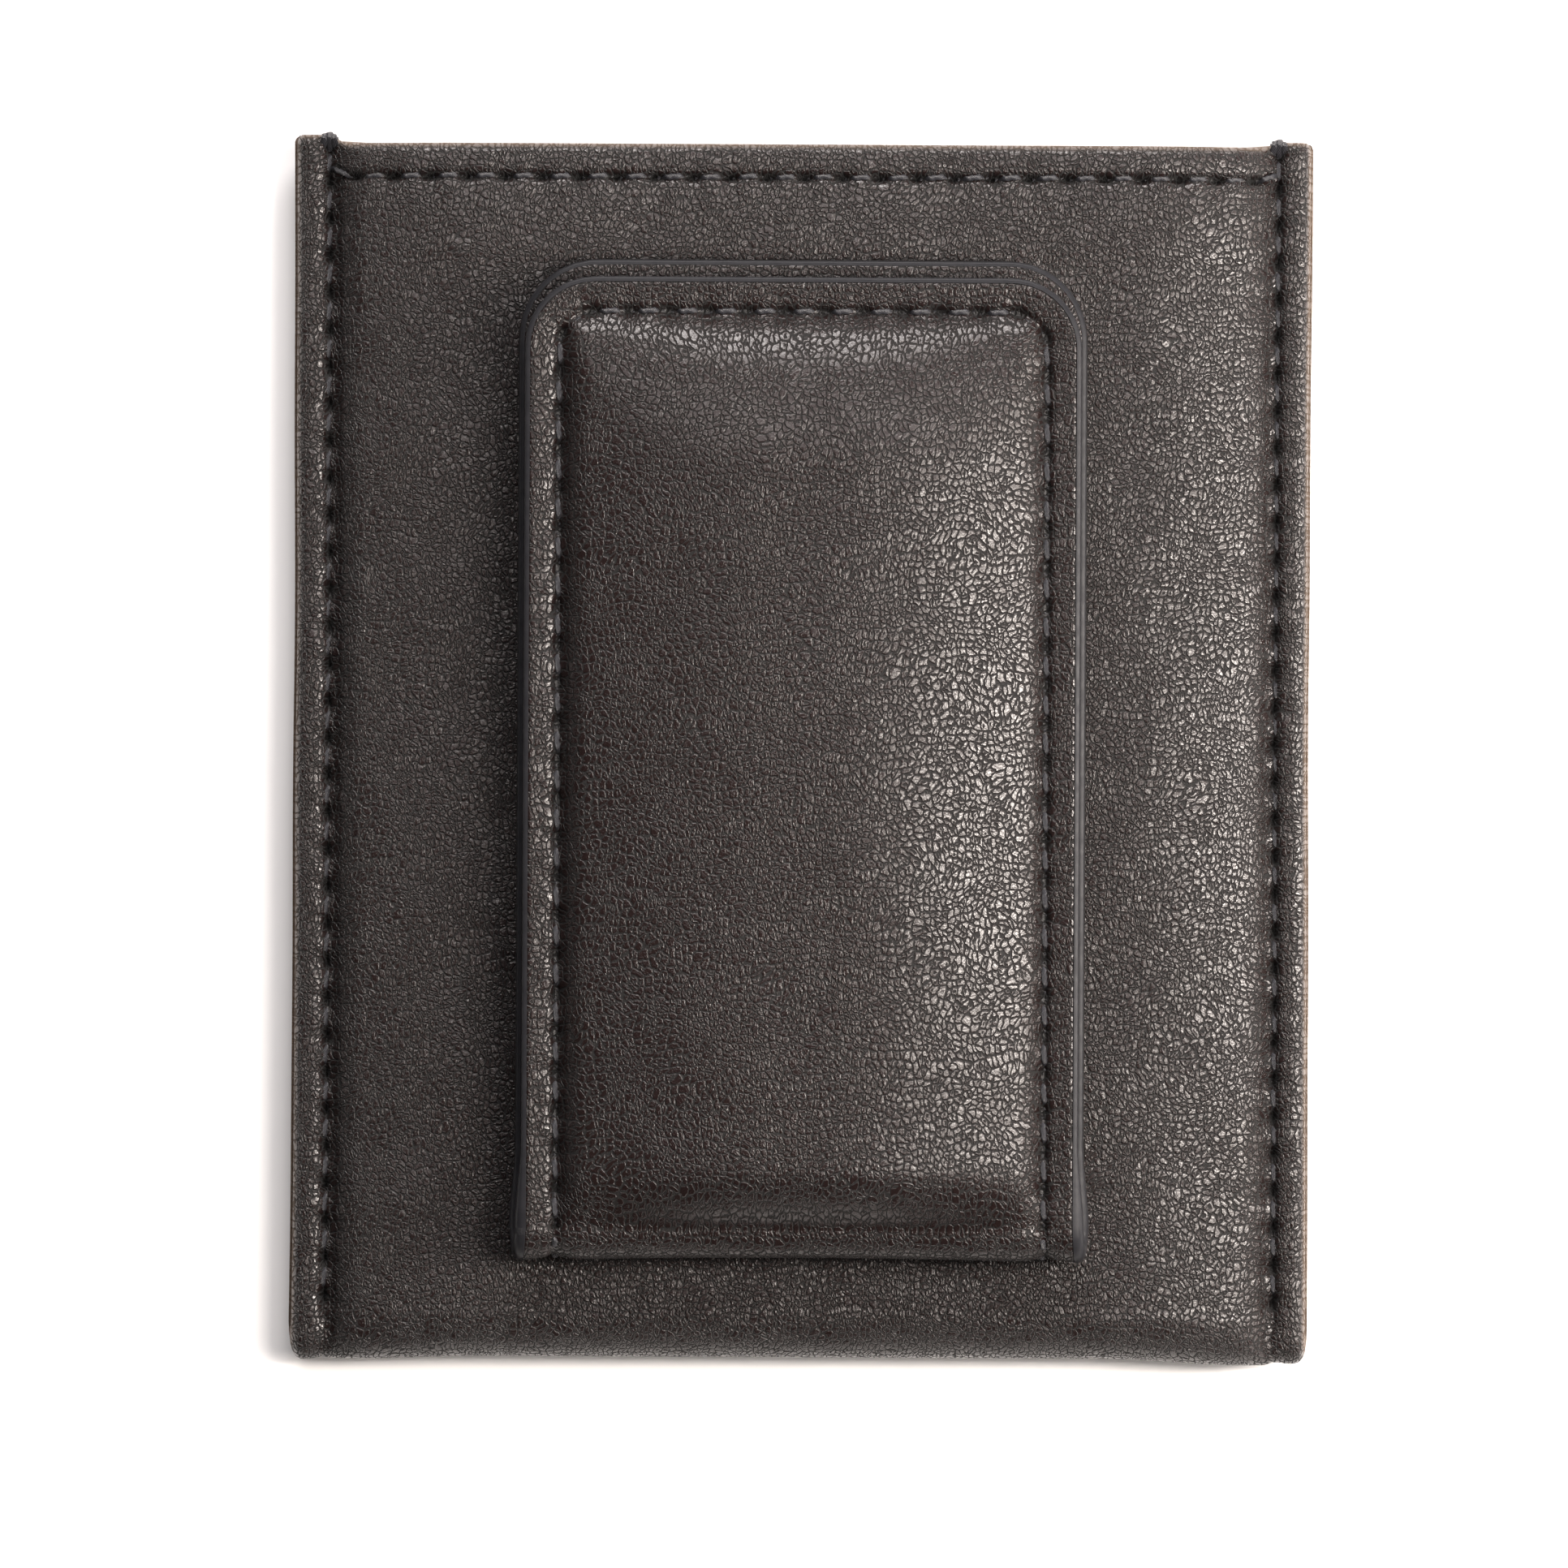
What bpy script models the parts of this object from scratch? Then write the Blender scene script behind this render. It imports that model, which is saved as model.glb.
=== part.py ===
"""Leather card case with a folding magnetic money clip on its front.

The case lies on its back: X runs across it, Y runs up from its folded bottom edge to its open mouth, and Z
points out of the face that carries the clip. The origin is at the middle of the footprint, on the surface it
lies on.
Metres throughout.
"""

import math

import bmesh
import bpy

MM = 0.001

# The case. Its height is measured over the side wings, which stand a little above the mouth's hem.
CASE_W = 83.0 * MM
CASE_H = 99.4 * MM
CASE_T = 8.2 * MM
LEATHER_T = 1.0 * MM
HEM_TURN_T = 0.6 * MM
BOARD_T = 0.5 * MM
BOARD_CORNER_R = 2.0 * MM
BOARD_FOLD_GAP = 0.6 * MM
BOARD_HEM_GAP = 0.3 * MM
LINING_T = 0.25 * MM
LINING_SIDE_GAP = 0.6 * MM
LINING_HEM_GAP = 0.2 * MM
LINING_STEP_FROM = 9.0 * MM
LINING_STEP_W = 2.5 * MM
GLUE = 0.1 * MM

# Side seams: both walls lie flat on each other in a wing, and puff apart inside it.
SEAM_INSET = 2.75 * MM
WING_T = 3.1 * MM
WING_MID_Z = 3.4 * MM
WING_BULGE = 0.2 * MM
WING_EDGE_ROUND = 0.3 * MM
SLOPE_START = 3.35 * MM
FRONT_SLOPE = 9.0 * MM
STEEP_SLOPE = 2.6 * MM
STEEP_SHARE = 0.46
BACK_SLOPE = 7.0 * MM
SEAM_BOTTOM = 2.4 * MM
SEAM_TOP = 0.5 * MM

# Mouth: the leather is turned in and sewn down between the wings.
HEM_INSET = 2.7 * MM
HEM_DEPTH = 9.0 * MM
HEM_STEP = 0.3 * MM
MOUTH_DIP = 0.7 * MM
MOUTH_DIP_FROM = 2.2 * MM
MOUTH_DIP_W = 2.4 * MM
MOUTH_SLOPE = 6.0 * MM
MOUTH_DROP = 0.2 * MM

# Seams: a thread lies in a V groove, just below the leather's face.
THREAD_R = 0.17 * MM
THREAD_CLEARANCE = 0.04 * MM
GROOVE_HALF = 0.55 * MM
GROOVE_DEPTH = 0.5 * MM
SEAM_ROOT_GAP = 0.3 * MM
GROOVE_SLANT = math.atan2(GROOVE_HALF, GROOVE_DEPTH)
THREAD_SINK = GROOVE_DEPTH - (THREAD_R + THREAD_CLEARANCE) / math.sin(GROOVE_SLANT)

# The clip: one leather strip, folded at its lower end. The base half lies on the case, the flap half swings.
BASE_HALF_W = 23.1 * MM
FLAP_HALF_W = 22.6 * MM
BASE_CORNER_R = 6.4 * MM
FLAP_CORNER_R = 5.8 * MM
FOLD_BOTTOM_Y = -41.6 * MM
BASE_TOP_Y = 39.7 * MM
FLAP_TOP_Y = 38.2 * MM
CLIP_SEAM_X = 19.75 * MM
STRIP_LINING_T = 0.8 * MM
CLOSED_GAP = 0.3 * MM
EDGE_ROUND = 0.35 * MM
ROOT_GAP = 0.15 * MM
ROOT_LINE = 0.1 * MM
MIN_CORNER_R = 0.8 * MM
HINGE_FROM_ROOT = 2.5 * MM

# The core in each half: a board with a window for each magnet, and in the flap a pad on top of it.
CORE_T = 1.0 * MM
CORE_INSET = 4.9 * MM
CORE_ROOT = 3.2 * MM
CORE_CLEARANCE = 0.3 * MM
CORE_RING_W = 3.0 * MM
PAD_T = 0.5 * MM
PAD_INSET = 7.6 * MM
PAD_ROOT = 6.5 * MM
PAD_EDGE_T = 0.15 * MM
PAD_HEADROOM = 0.45 * MM
CROWN = 1.2 * MM
CROWN_WIDTH = 15.0 * MM
MAGNET_R = 7.5 * MM
MAGNET_T = 0.9 * MM
MAGNET_CLEARANCE = 0.15 * MM
MAGNET_FROM_TOP = 17.0 * MM
MAGNET_SPACING = 17.0 * MM

# Heights in the clip, stacked up from the case's front.
BASE_COVER_Z = CASE_T + GLUE
BASE_CORE_Z = BASE_COVER_Z + LEATHER_T + GLUE
TRAY = CORE_T + GLUE
BASE_FACE_Z = BASE_CORE_Z + TRAY + STRIP_LINING_T
FLAP_LINING_Z = BASE_FACE_Z + CLOSED_GAP
FLAP_CORE_Z = FLAP_LINING_Z + STRIP_LINING_T + GLUE
FLAP_MARGIN_Z = FLAP_CORE_Z + LEATHER_T

# The fold joins the two halves' margins in a half round.
FOLD_R = (FLAP_MARGIN_Z - BASE_COVER_Z) / 2
FOLD_Z = (FLAP_MARGIN_Z + BASE_COVER_Z) / 2
FOLD_Y = FOLD_BOTTOM_Y + FOLD_R
ROOT_Y = FOLD_Y + ROOT_GAP

# Grid lines of the case's walls: distances in from a side edge, and down from the mouth.
SIDE_LINES = [
    0,
    0.35 * MM,
    1.3 * MM,
    SEAM_INSET - GROOVE_HALF,
    SEAM_INSET,
    SLOPE_START,
    4.0 * MM,
    4.9 * MM,
    6.0 * MM,
    7.6 * MM,
    SLOPE_START + BACK_SLOPE,
    SLOPE_START + FRONT_SLOPE,
]
MOUTH_LINES = [
    0,
    0.4 * MM,
    HEM_INSET - GROOVE_HALF,
    HEM_INSET,
    HEM_INSET + GROOVE_HALF,
    MOUTH_SLOPE,
    HEM_DEPTH,
    HEM_DEPTH + HEM_STEP,
]
HEM_SIDE = 4.5 * MM
WALL_ROWS = 5
FOLD_STEPS = 8
CORNER_STEPS = 6
SAME_LINE = 0.05 * MM


def clear_scene():
    for obj in list(bpy.data.objects):
        bpy.data.objects.remove(obj)


def make_material(name, colour, roughness, metallic=0.0):
    material = bpy.data.materials.new(name)
    material.use_nodes = True
    shader = material.node_tree.nodes["Principled BSDF"]
    shader.inputs["Base Color"].default_value = (*colour, 1.0)
    shader.inputs["Roughness"].default_value = roughness
    shader.inputs["Metallic"].default_value = metallic
    return material


def clamp(value):
    return max(0.0, min(1.0, value))


def ease(t):
    """A smooth step from 0 to 1."""
    t = clamp(t)
    return t * t * (3 - 2 * t)


def puff(t):
    """Rises steeply from 0 and levels out at 1, as a padded wall does beside its seam."""
    return 1 - (1 - clamp(t)) ** 2


def groove(distance):
    """Depth of a seam's V groove at that distance from the seam."""
    return GROOVE_DEPTH * clamp(1 - abs(distance) / GROOVE_HALF)


def place(name, data, material, location=(0, 0, 0), parent=None):
    """Puts a mesh or curve in the scene with its origin at that world location."""
    data.materials.append(material)
    obj = bpy.data.objects.new(name, data)
    bpy.context.scene.collection.objects.link(obj)
    start = parent.location if parent else (0, 0, 0)
    obj.parent = parent
    obj.location = [a - b for a, b in zip(location, start)]
    return obj


def shade(mesh):
    mesh.shade_smooth()
    mesh.set_sharp_from_angle(angle=math.radians(35))
    return mesh


def closed_mesh(name, points, faces):
    mesh = bpy.data.meshes.new(name)
    mesh.from_pydata(points, [], faces)
    bm = bmesh.new()
    bm.from_mesh(mesh)
    bmesh.ops.recalc_face_normals(bm, faces=bm.faces)
    bm.to_mesh(mesh)
    bm.free()
    return shade(mesh)


def sheet_mesh(name, outer, inner):
    """A closed solid between two grids of points of the same size."""
    rows, columns = len(outer), len(outer[0])
    points = [p for grid in (outer, inner) for row in grid for p in row]

    def at(layer, row, column):
        return (layer * rows + row) * columns + column

    faces = []
    for layer in (0, 1):
        for r in range(rows - 1):
            for c in range(columns - 1):
                corners = ((r, c), (r, c + 1), (r + 1, c + 1), (r + 1, c))
                faces.append([at(layer, *corner) for corner in corners])
    for c in range(columns - 1):
        for r in (0, rows - 1):
            faces.append([at(0, r, c), at(0, r, c + 1), at(1, r, c + 1), at(1, r, c)])
    for r in range(rows - 1):
        for c in (0, columns - 1):
            faces.append([at(0, r, c), at(0, r + 1, c), at(1, r + 1, c), at(1, r, c)])
    return closed_mesh(name, points, faces)


# The case's walls, as heights over its plan.


def from_side(x):
    return CASE_W / 2 - abs(x)


def mouth_y(x):
    return CASE_H / 2 - MOUTH_DIP * ease((from_side(x) - MOUTH_DIP_FROM) / MOUTH_DIP_W)


def front_z(x, y):
    """The front rises steeply beside the seam, then rounds off on to the flat middle."""
    rise = CASE_T - WING_MID_Z - WING_T / 2
    drop = MOUTH_DROP * ease(1 - (mouth_y(x) - y) / MOUTH_SLOPE)
    start = from_side(x) - SLOPE_START
    share = STEEP_SHARE * puff(start / STEEP_SLOPE) + (1 - STEEP_SHARE) * puff(start / FRONT_SLOPE)
    return WING_MID_Z + WING_T / 2 + (rise - drop) * share


def back_z(x, y):
    return (WING_MID_Z - WING_T / 2) * (1 - puff((from_side(x) - SLOPE_START) / BACK_SLOPE))


def outer_relief(x, down):
    """How far the outer face stands above the plain wall: the wing's bulge, round edge and grooves."""
    side = from_side(x)
    first, bulged = SIDE_LINES[1], SIDE_LINES[2]
    bulge = WING_BULGE * clamp(1 - abs(side - bulged) / (bulged - first))
    edge = WING_EDGE_ROUND * clamp(1 - side / first)
    hem = groove(down - HEM_INSET) if side > SLOPE_START + SAME_LINE else 0
    return bulge - edge - max(groove(side - SEAM_INSET), hem)


def side_columns(first):
    """X of the grid lines from one side to the other, the first at that distance in from the side."""
    insets = [first] + [s for s in SIDE_LINES if s > first + SAME_LINE]
    left = [s - CASE_W / 2 for s in insets]
    return left + [-x for x in reversed(left)]


def wrap_row(x, start, depth, relief):
    """Points at one x: down the front wall, round the bottom fold and up the back.

    start is how far below the mouth the sheet begins. depth and relief, at (x, distance from the mouth), put
    each point that far under the plain outer face, and then that far out again.
    """
    radius = (front_z(x, 0) - back_z(x, 0)) / 2
    centre_y = radius - CASE_H / 2
    centre_z = (front_z(x, 0) + back_z(x, 0)) / 2
    top = mouth_y(x)
    downs = [start] + [d for d in MOUTH_LINES if d > start + SAME_LINE]
    rest = top - centre_y - downs[-1]
    downs += [downs[-1] + rest * (k + 1) / WALL_ROWS for k in range(WALL_ROWS)]
    front, back = [], []
    for down in downs:
        under = depth(x, down) - relief(x, down)
        front.append((x, top - down, front_z(x, top - down) - under))
        back.append((x, top - down, back_z(x, top - down) + under))
    turn = []
    for k in range(1, FOLD_STEPS):
        angle = math.pi * k / FOLD_STEPS
        reach = radius - depth(x, downs[-1]) + relief(x, downs[-1]) * math.cos(angle) ** 2
        turn.append((x, centre_y - reach * math.sin(angle), centre_z + reach * math.cos(angle)))
    return front + turn + back[::-1]


def no_depth(x, down):
    return 0.0


def shell_depth(x, down):
    """The leather's thickness, with the turned hem's added between the wings."""
    turned = down <= HEM_DEPTH + SAME_LINE and from_side(x) > HEM_SIDE
    return LEATHER_T + (HEM_TURN_T if turned else 0)


def lining_face_depth(x, down):
    """The lining lies on the leather beside the seams, and on the board between them."""
    over_board = ease((from_side(x) - LINING_STEP_FROM) / LINING_STEP_W)
    return LEATHER_T + GLUE + (BOARD_T + GLUE) * over_board


def lining_back_depth(x, down):
    return lining_face_depth(x, down) + LINING_T


def make_wrapped(name, material, first, start, outer_depth, inner_depth, relief=no_depth):
    columns = side_columns(first)
    outer = [wrap_row(x, start, outer_depth, relief) for x in columns]
    inner = [wrap_row(x, start, inner_depth, no_depth) for x in columns]
    place(name, sheet_mesh(name, outer, inner), material)


def make_board(name, z, material):
    """A stiffener under one wall's leather, from the bottom fold up to the turned hem."""
    width = 2 * from_side(SLOPE_START + FRONT_SLOPE)
    low = (CASE_T - CASE_H) / 2 + BOARD_FOLD_GAP
    high = mouth_y(0) - HEM_DEPTH - HEM_STEP - BOARD_HEM_GAP
    bm = bmesh.new()
    bmesh.ops.create_cube(bm, size=1)
    bmesh.ops.scale(bm, vec=(width, high - low, BOARD_T), verts=bm.verts)
    upright = [e for e in bm.edges if abs(e.verts[0].co.z - e.verts[1].co.z) > BOARD_T / 2]
    bmesh.ops.bevel(bm, geom=upright, offset=BOARD_CORNER_R, segments=4, affect="EDGES", profile=0.5)
    mesh = bpy.data.meshes.new(name)
    bm.to_mesh(mesh)
    bm.free()
    place(name, shade(mesh), material, (0, (low + high) / 2, z))


# The clip's halves. Each is a stack of sheets over one U-shaped outline, whose Y starts at the root.


class Half:
    """The plan of one half of the folded strip."""

    def __init__(self, name, half_w, top_y, corner_r):
        self.name = name
        self.half_w = half_w
        self.length = top_y - ROOT_Y
        self.corner_r = corner_r
        self.seam_inset = half_w - CLIP_SEAM_X

    def outline(self, inset, root=0.0):
        """The U from the root up one side, round the free end and down the other, moved in by inset."""
        half, top = self.half_w - inset, self.length - inset
        radius = max(self.corner_r - inset, MIN_CORNER_R)
        points = [(-half, root), (-half, max(root + ROOT_LINE, CORE_ROOT)), (-half, self.length / 2)]
        for k in range(CORNER_STEPS + 1):
            angle = math.pi - math.pi / 2 * k / CORNER_STEPS
            points.append((radius - half + radius * math.cos(angle), top - radius + radius * math.sin(angle)))
        return points + [(-x, y) for x, y in reversed(points)]

    def core_share(self, inset, y):
        """1 over the core, falling to 0 on the sewn margin and at the root."""
        start = self.seam_inset + GROOVE_HALF
        return puff((inset - start) / (CORE_INSET - start)) * puff(y / CORE_ROOT)

    def sheet(self, insets, upper, lower, root=0.0):
        """A closed sheet whose faces' heights are upper and lower at (inset, y)."""
        count = len(self.outline(0))
        last = len(insets) - 1
        points, faces = [], []
        for height in (upper, lower):
            for inset in insets:
                points += [(x, y, height(inset, y)) for x, y in self.outline(inset, root)]

        def at(layer, ring, i):
            return (layer * len(insets) + ring) * count + i

        for layer in (0, 1):
            for ring in range(last):
                for i in range(count - 1):
                    corners = ((ring, i), (ring, i + 1), (ring + 1, i + 1), (ring + 1, i))
                    faces.append([at(layer, *corner) for corner in corners])
            for i in range(count // 2 - 1):
                far = count - 1 - i
                faces.append([at(layer, last, n) for n in (i, i + 1, far - 1, far)])
        for i in range(count - 1):
            faces.append([at(0, 0, i), at(0, 0, i + 1), at(1, 0, i + 1), at(1, 0, i)])
        for ring in range(last):
            for i in (0, count - 1):
                faces.append([at(0, ring, i), at(0, ring + 1, i), at(1, ring + 1, i), at(1, ring, i)])
        faces.append([at(0, last, 0), at(0, last, count - 1), at(1, last, count - 1), at(1, last, 0)])
        return closed_mesh(self.name, points, faces)

    def margin_insets(self):
        seam = self.seam_inset
        return [0, EDGE_ROUND, seam - GROOVE_HALF, seam, seam + GROOVE_HALF]

    def flat_lower(self, inset, y):
        """An underside with a seam groove."""
        return groove(inset - self.seam_inset)

    def edge_drop(self, inset):
        return EDGE_ROUND * clamp(1 - inset / EDGE_ROUND)

    def tray_upper(self, thickness, swell):
        """The top of a sheet that rises over the core, with a round edge and a seam groove."""
        def height(inset, y):
            share = self.core_share(inset, y)
            raised = (TRAY + swell * puff((inset - CORE_INSET) / CROWN_WIDTH)) * share
            return thickness + raised - groove(inset - self.seam_inset) - self.edge_drop(inset)
        return height

    def tray_lower(self, swell):
        def height(inset, y):
            return (TRAY + swell * puff((inset - CORE_INSET) / CROWN_WIDTH)) * self.core_share(inset, y)
        return height


BASE = Half("base", BASE_HALF_W, BASE_TOP_Y, BASE_CORNER_R)
FLAP = Half("flap", FLAP_HALF_W, FLAP_TOP_Y, FLAP_CORNER_R)


def level(height):
    return lambda inset, y: height


def tray_insets(half):
    return half.margin_insets() + [(half.seam_inset + GROOVE_HALF + CORE_INSET) / 2, CORE_INSET,
                                   CORE_INSET + CROWN_WIDTH / 2, CORE_INSET + CROWN_WIDTH]


def make_base(leather, board, magnet):
    """The half that is glued and sewn to the case's front: flat cover, core, and raised bill face."""
    cover = BASE.sheet(BASE.margin_insets(), level(LEATHER_T), BASE.flat_lower)
    place("base_cover", cover, leather, (0, ROOT_Y, BASE_COVER_Z))
    lining = BASE.sheet(tray_insets(BASE), BASE.tray_upper(STRIP_LINING_T, 0), BASE.tray_lower(0))
    place("base_lining", lining, leather, (0, ROOT_Y, BASE_CORE_Z))
    make_core(BASE, BASE_CORE_Z, board, magnet, None)


def make_flap(leather, board, magnet, foam, hinge):
    """The half that swings: flat bill face, core, pad and crowned cover."""
    swell = PAD_T + CROWN
    lining = FLAP.sheet(FLAP.margin_insets(), level(STRIP_LINING_T), FLAP.flat_lower)
    place("flap_lining", lining, leather, (0, ROOT_Y, FLAP_LINING_Z), hinge)
    cover = FLAP.sheet(tray_insets(FLAP), FLAP.tray_upper(LEATHER_T, swell), FLAP.tray_lower(swell))
    place("flap_cover", cover, leather, (0, ROOT_Y, FLAP_CORE_Z), hinge)
    make_core(FLAP, FLAP_CORE_Z, board, magnet, hinge)

    def pad_upper(inset, y):
        middle = ease((inset - PAD_INSET) / CROWN_WIDTH)
        return PAD_EDGE_T + (swell - PAD_HEADROOM) * middle * FLAP.core_share(inset, y - PAD_ROOT)

    insets = [PAD_INSET + CROWN_WIDTH * k / 3 for k in range(4)]
    pad = FLAP.sheet(insets, pad_upper, level(0), PAD_ROOT)
    place("flap_foam_pad", pad, foam, (0, ROOT_Y, FLAP_CORE_Z + TRAY), hinge)


def make_core(half, z, board, magnet, parent):
    """A board with two round windows, and a disc magnet in each window."""
    insets = [CORE_INSET + CORE_CLEARANCE, CORE_INSET + CORE_RING_W]
    mesh = half.sheet(insets, level(CORE_T), level(0), CORE_ROOT + CORE_CLEARANCE)
    core = place(f"{half.name}_core_board", mesh, board, (0, ROOT_Y, z), parent)
    for side, sign in (("left", -1), ("right", 1)):
        centre = (sign * MAGNET_SPACING / 2, ROOT_Y + half.length - MAGNET_FROM_TOP, z + CORE_T / 2)
        window_r = MAGNET_R + MAGNET_CLEARANCE
        cutter = make_disc(f"{half.name}_window_{side}", window_r, 3 * CORE_T, magnet, centre, parent)
        cutter.hide_render = True
        cutter.display_type = "WIRE"
        cut = core.modifiers.new(f"window_{side}", "BOOLEAN")
        cut.operation = "DIFFERENCE"
        cut.object = cutter
        make_disc(f"{half.name}_magnet_{side}", MAGNET_R, MAGNET_T, magnet, centre, parent)


def make_disc(name, radius, height, material, centre, parent):
    bm = bmesh.new()
    bmesh.ops.create_cone(bm, cap_ends=True, segments=32, radius1=radius, radius2=radius, depth=height)
    mesh = bpy.data.meshes.new(name)
    bm.to_mesh(mesh)
    bm.free()
    return place(name, shade(mesh), material, centre, parent)


def make_fold(name, outer_r, inner_r, material):
    """A half round of leather from the base's root to the flap's, narrowing from one width to the other."""
    layers = []
    for radius in (outer_r, inner_r):
        sides = []
        for sign in (-1, 1):
            arc = []
            for k in range(FOLD_STEPS + 1):
                angle = math.pi * k / FOLD_STEPS
                half = FLAP_HALF_W + (BASE_HALF_W - FLAP_HALF_W) * k / FOLD_STEPS
                arc.append((sign * half, -radius * math.sin(angle), radius * math.cos(angle)))
            sides.append(arc)
        layers.append(sides)
    place(name, sheet_mesh(name, *layers), material, (0, FOLD_Y, FOLD_Z))


# Threads: each is one tube along its groove.


def make_thread(name, points, material, parent=None):
    curve = bpy.data.curves.new(name, "CURVE")
    curve.dimensions = "3D"
    curve.bevel_depth = THREAD_R
    curve.bevel_resolution = 1
    curve.use_fill_caps = True
    spline = curve.splines.new("POLY")
    spline.points.add(len(points) - 1)
    start = points[0]
    for point, co in zip(spline.points, points):
        point.co = (*[a - b for a, b in zip(co, start)], 1)
    place(name, curve, material, start, parent)


def make_side_seams(thread):
    for side, sign in (("left", -1), ("right", 1)):
        x = sign * (CASE_W / 2 - SEAM_INSET)
        ends = (CASE_H / 2 - SEAM_TOP, SEAM_BOTTOM - CASE_H / 2)
        make_thread(f"{side}_seam_thread_front", [(x, y, front_z(x, y) - THREAD_SINK) for y in ends], thread)
        make_thread(f"{side}_seam_thread_back", [(x, y, back_z(x, y) + THREAD_SINK) for y in ends], thread)


def make_hem_seams(thread):
    under = LEATHER_T + HEM_TURN_T + THREAD_CLEARANCE + THREAD_R
    outside = side_columns(SIDE_LINES[6])
    inside = side_columns(SIDE_LINES[9])
    for wall, height, sign in (("front", front_z, 1), ("back", back_z, -1)):
        for face, columns, depth in (("outside", outside, THREAD_SINK), ("inside", inside, under)):
            points = []
            for x in columns:
                y = mouth_y(x) - HEM_INSET
                points.append((x, y, height(x, y) - sign * depth))
            make_thread(f"{wall}_hem_thread_{face}", points, thread)


def make_clip_seams(thread, hinge):
    """The strip's seam: one thread on each face of each half."""
    base_bill_z = BASE_CORE_Z + STRIP_LINING_T - THREAD_SINK
    for name, half, z, parent in (
        ("base_thread_outer", BASE, BASE_COVER_Z + THREAD_SINK, None),
        ("base_thread_bill_face", BASE, base_bill_z, None),
        ("flap_thread_bill_face", FLAP, FLAP_LINING_Z + THREAD_SINK, hinge),
        ("flap_thread_outer", FLAP, FLAP_MARGIN_Z - THREAD_SINK, hinge),
    ):
        outline = half.outline(half.seam_inset, SEAM_ROOT_GAP)
        make_thread(name, [(x, ROOT_Y + y, z) for x, y in outline], thread, parent)


def main():
    clear_scene()
    leather = make_material("leather", (0.030, 0.026, 0.025), 0.45)
    fabric = make_material("lining_fabric", (0.020, 0.020, 0.020), 0.80)
    board = make_material("board", (0.250, 0.200, 0.150), 0.90)
    magnet = make_material("magnet", (0.600, 0.600, 0.600), 0.30, 1.0)
    foam = make_material("foam", (0.100, 0.100, 0.100), 0.95)
    thread = make_material("thread", (0.015, 0.014, 0.014), 0.60)

    make_wrapped("case_shell", leather, 0, 0, no_depth, shell_depth, outer_relief)
    lining_start = HEM_DEPTH + HEM_STEP + LINING_HEM_GAP
    make_wrapped("pocket_lining", fabric, LINING_SIDE_GAP, lining_start, lining_face_depth, lining_back_depth)
    board_depth = LEATHER_T + GLUE + BOARD_T / 2
    make_board("front_board", CASE_T - board_depth, board)
    make_board("back_board", board_depth, board)
    make_side_seams(thread)
    make_hem_seams(thread)

    hinge = bpy.data.objects.new("flap_hinge", None)
    hinge.location = (0, ROOT_Y - HINGE_FROM_ROOT, FOLD_Z)
    bpy.context.scene.collection.objects.link(hinge)
    make_base(leather, board, magnet)
    make_fold("fold_cover", FOLD_R, FOLD_R - LEATHER_T, leather)
    lining_r = FOLD_R - LEATHER_T - GLUE
    make_fold("fold_lining", lining_r, lining_r - STRIP_LINING_T, leather)
    make_flap(leather, board, magnet, foam, hinge)
    make_clip_seams(thread, hinge)


main()
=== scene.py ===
"""Looks of a leather card case with a folding magnetic money clip on its front.

The case lies on its back, with X across it, Y towards its open mouth and Z out of the face that carries
the clip. Metres throughout. Every place comes from the CAD frame, and the fine surface is worked out here.
"""

import math

import bmesh
import bpy
import numpy as np
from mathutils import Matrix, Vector


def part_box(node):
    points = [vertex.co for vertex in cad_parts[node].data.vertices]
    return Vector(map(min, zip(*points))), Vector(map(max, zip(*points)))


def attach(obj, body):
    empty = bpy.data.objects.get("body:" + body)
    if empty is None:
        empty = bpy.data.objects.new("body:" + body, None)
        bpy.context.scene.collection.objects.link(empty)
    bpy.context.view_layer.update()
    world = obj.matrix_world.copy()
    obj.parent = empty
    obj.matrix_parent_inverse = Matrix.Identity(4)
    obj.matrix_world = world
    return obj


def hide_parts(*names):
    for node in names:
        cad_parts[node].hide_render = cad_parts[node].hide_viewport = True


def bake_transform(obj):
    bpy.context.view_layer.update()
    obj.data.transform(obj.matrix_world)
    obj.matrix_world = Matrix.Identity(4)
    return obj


MM = 0.001

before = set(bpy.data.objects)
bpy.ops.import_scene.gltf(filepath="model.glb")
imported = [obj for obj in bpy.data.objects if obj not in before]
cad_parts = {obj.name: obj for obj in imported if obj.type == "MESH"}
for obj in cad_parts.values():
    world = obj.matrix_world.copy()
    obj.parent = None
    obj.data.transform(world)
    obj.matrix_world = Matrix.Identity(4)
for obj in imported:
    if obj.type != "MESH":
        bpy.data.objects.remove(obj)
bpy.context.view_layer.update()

# The case, from the frame.
CASE_LO, CASE_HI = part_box("case_shell")
HALF_W = CASE_HI.x
TOP_Y = CASE_HI.y
BOTTOM_Y = CASE_LO.y
FRONT_Z = CASE_HI.z
LEATHER_T = 1.0 * MM
HEM_T = 1.6 * MM
HEM_DEPTH = 9.0 * MM
WALL_T = 1.95 * MM
LINING_T = 0.25 * MM

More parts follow.
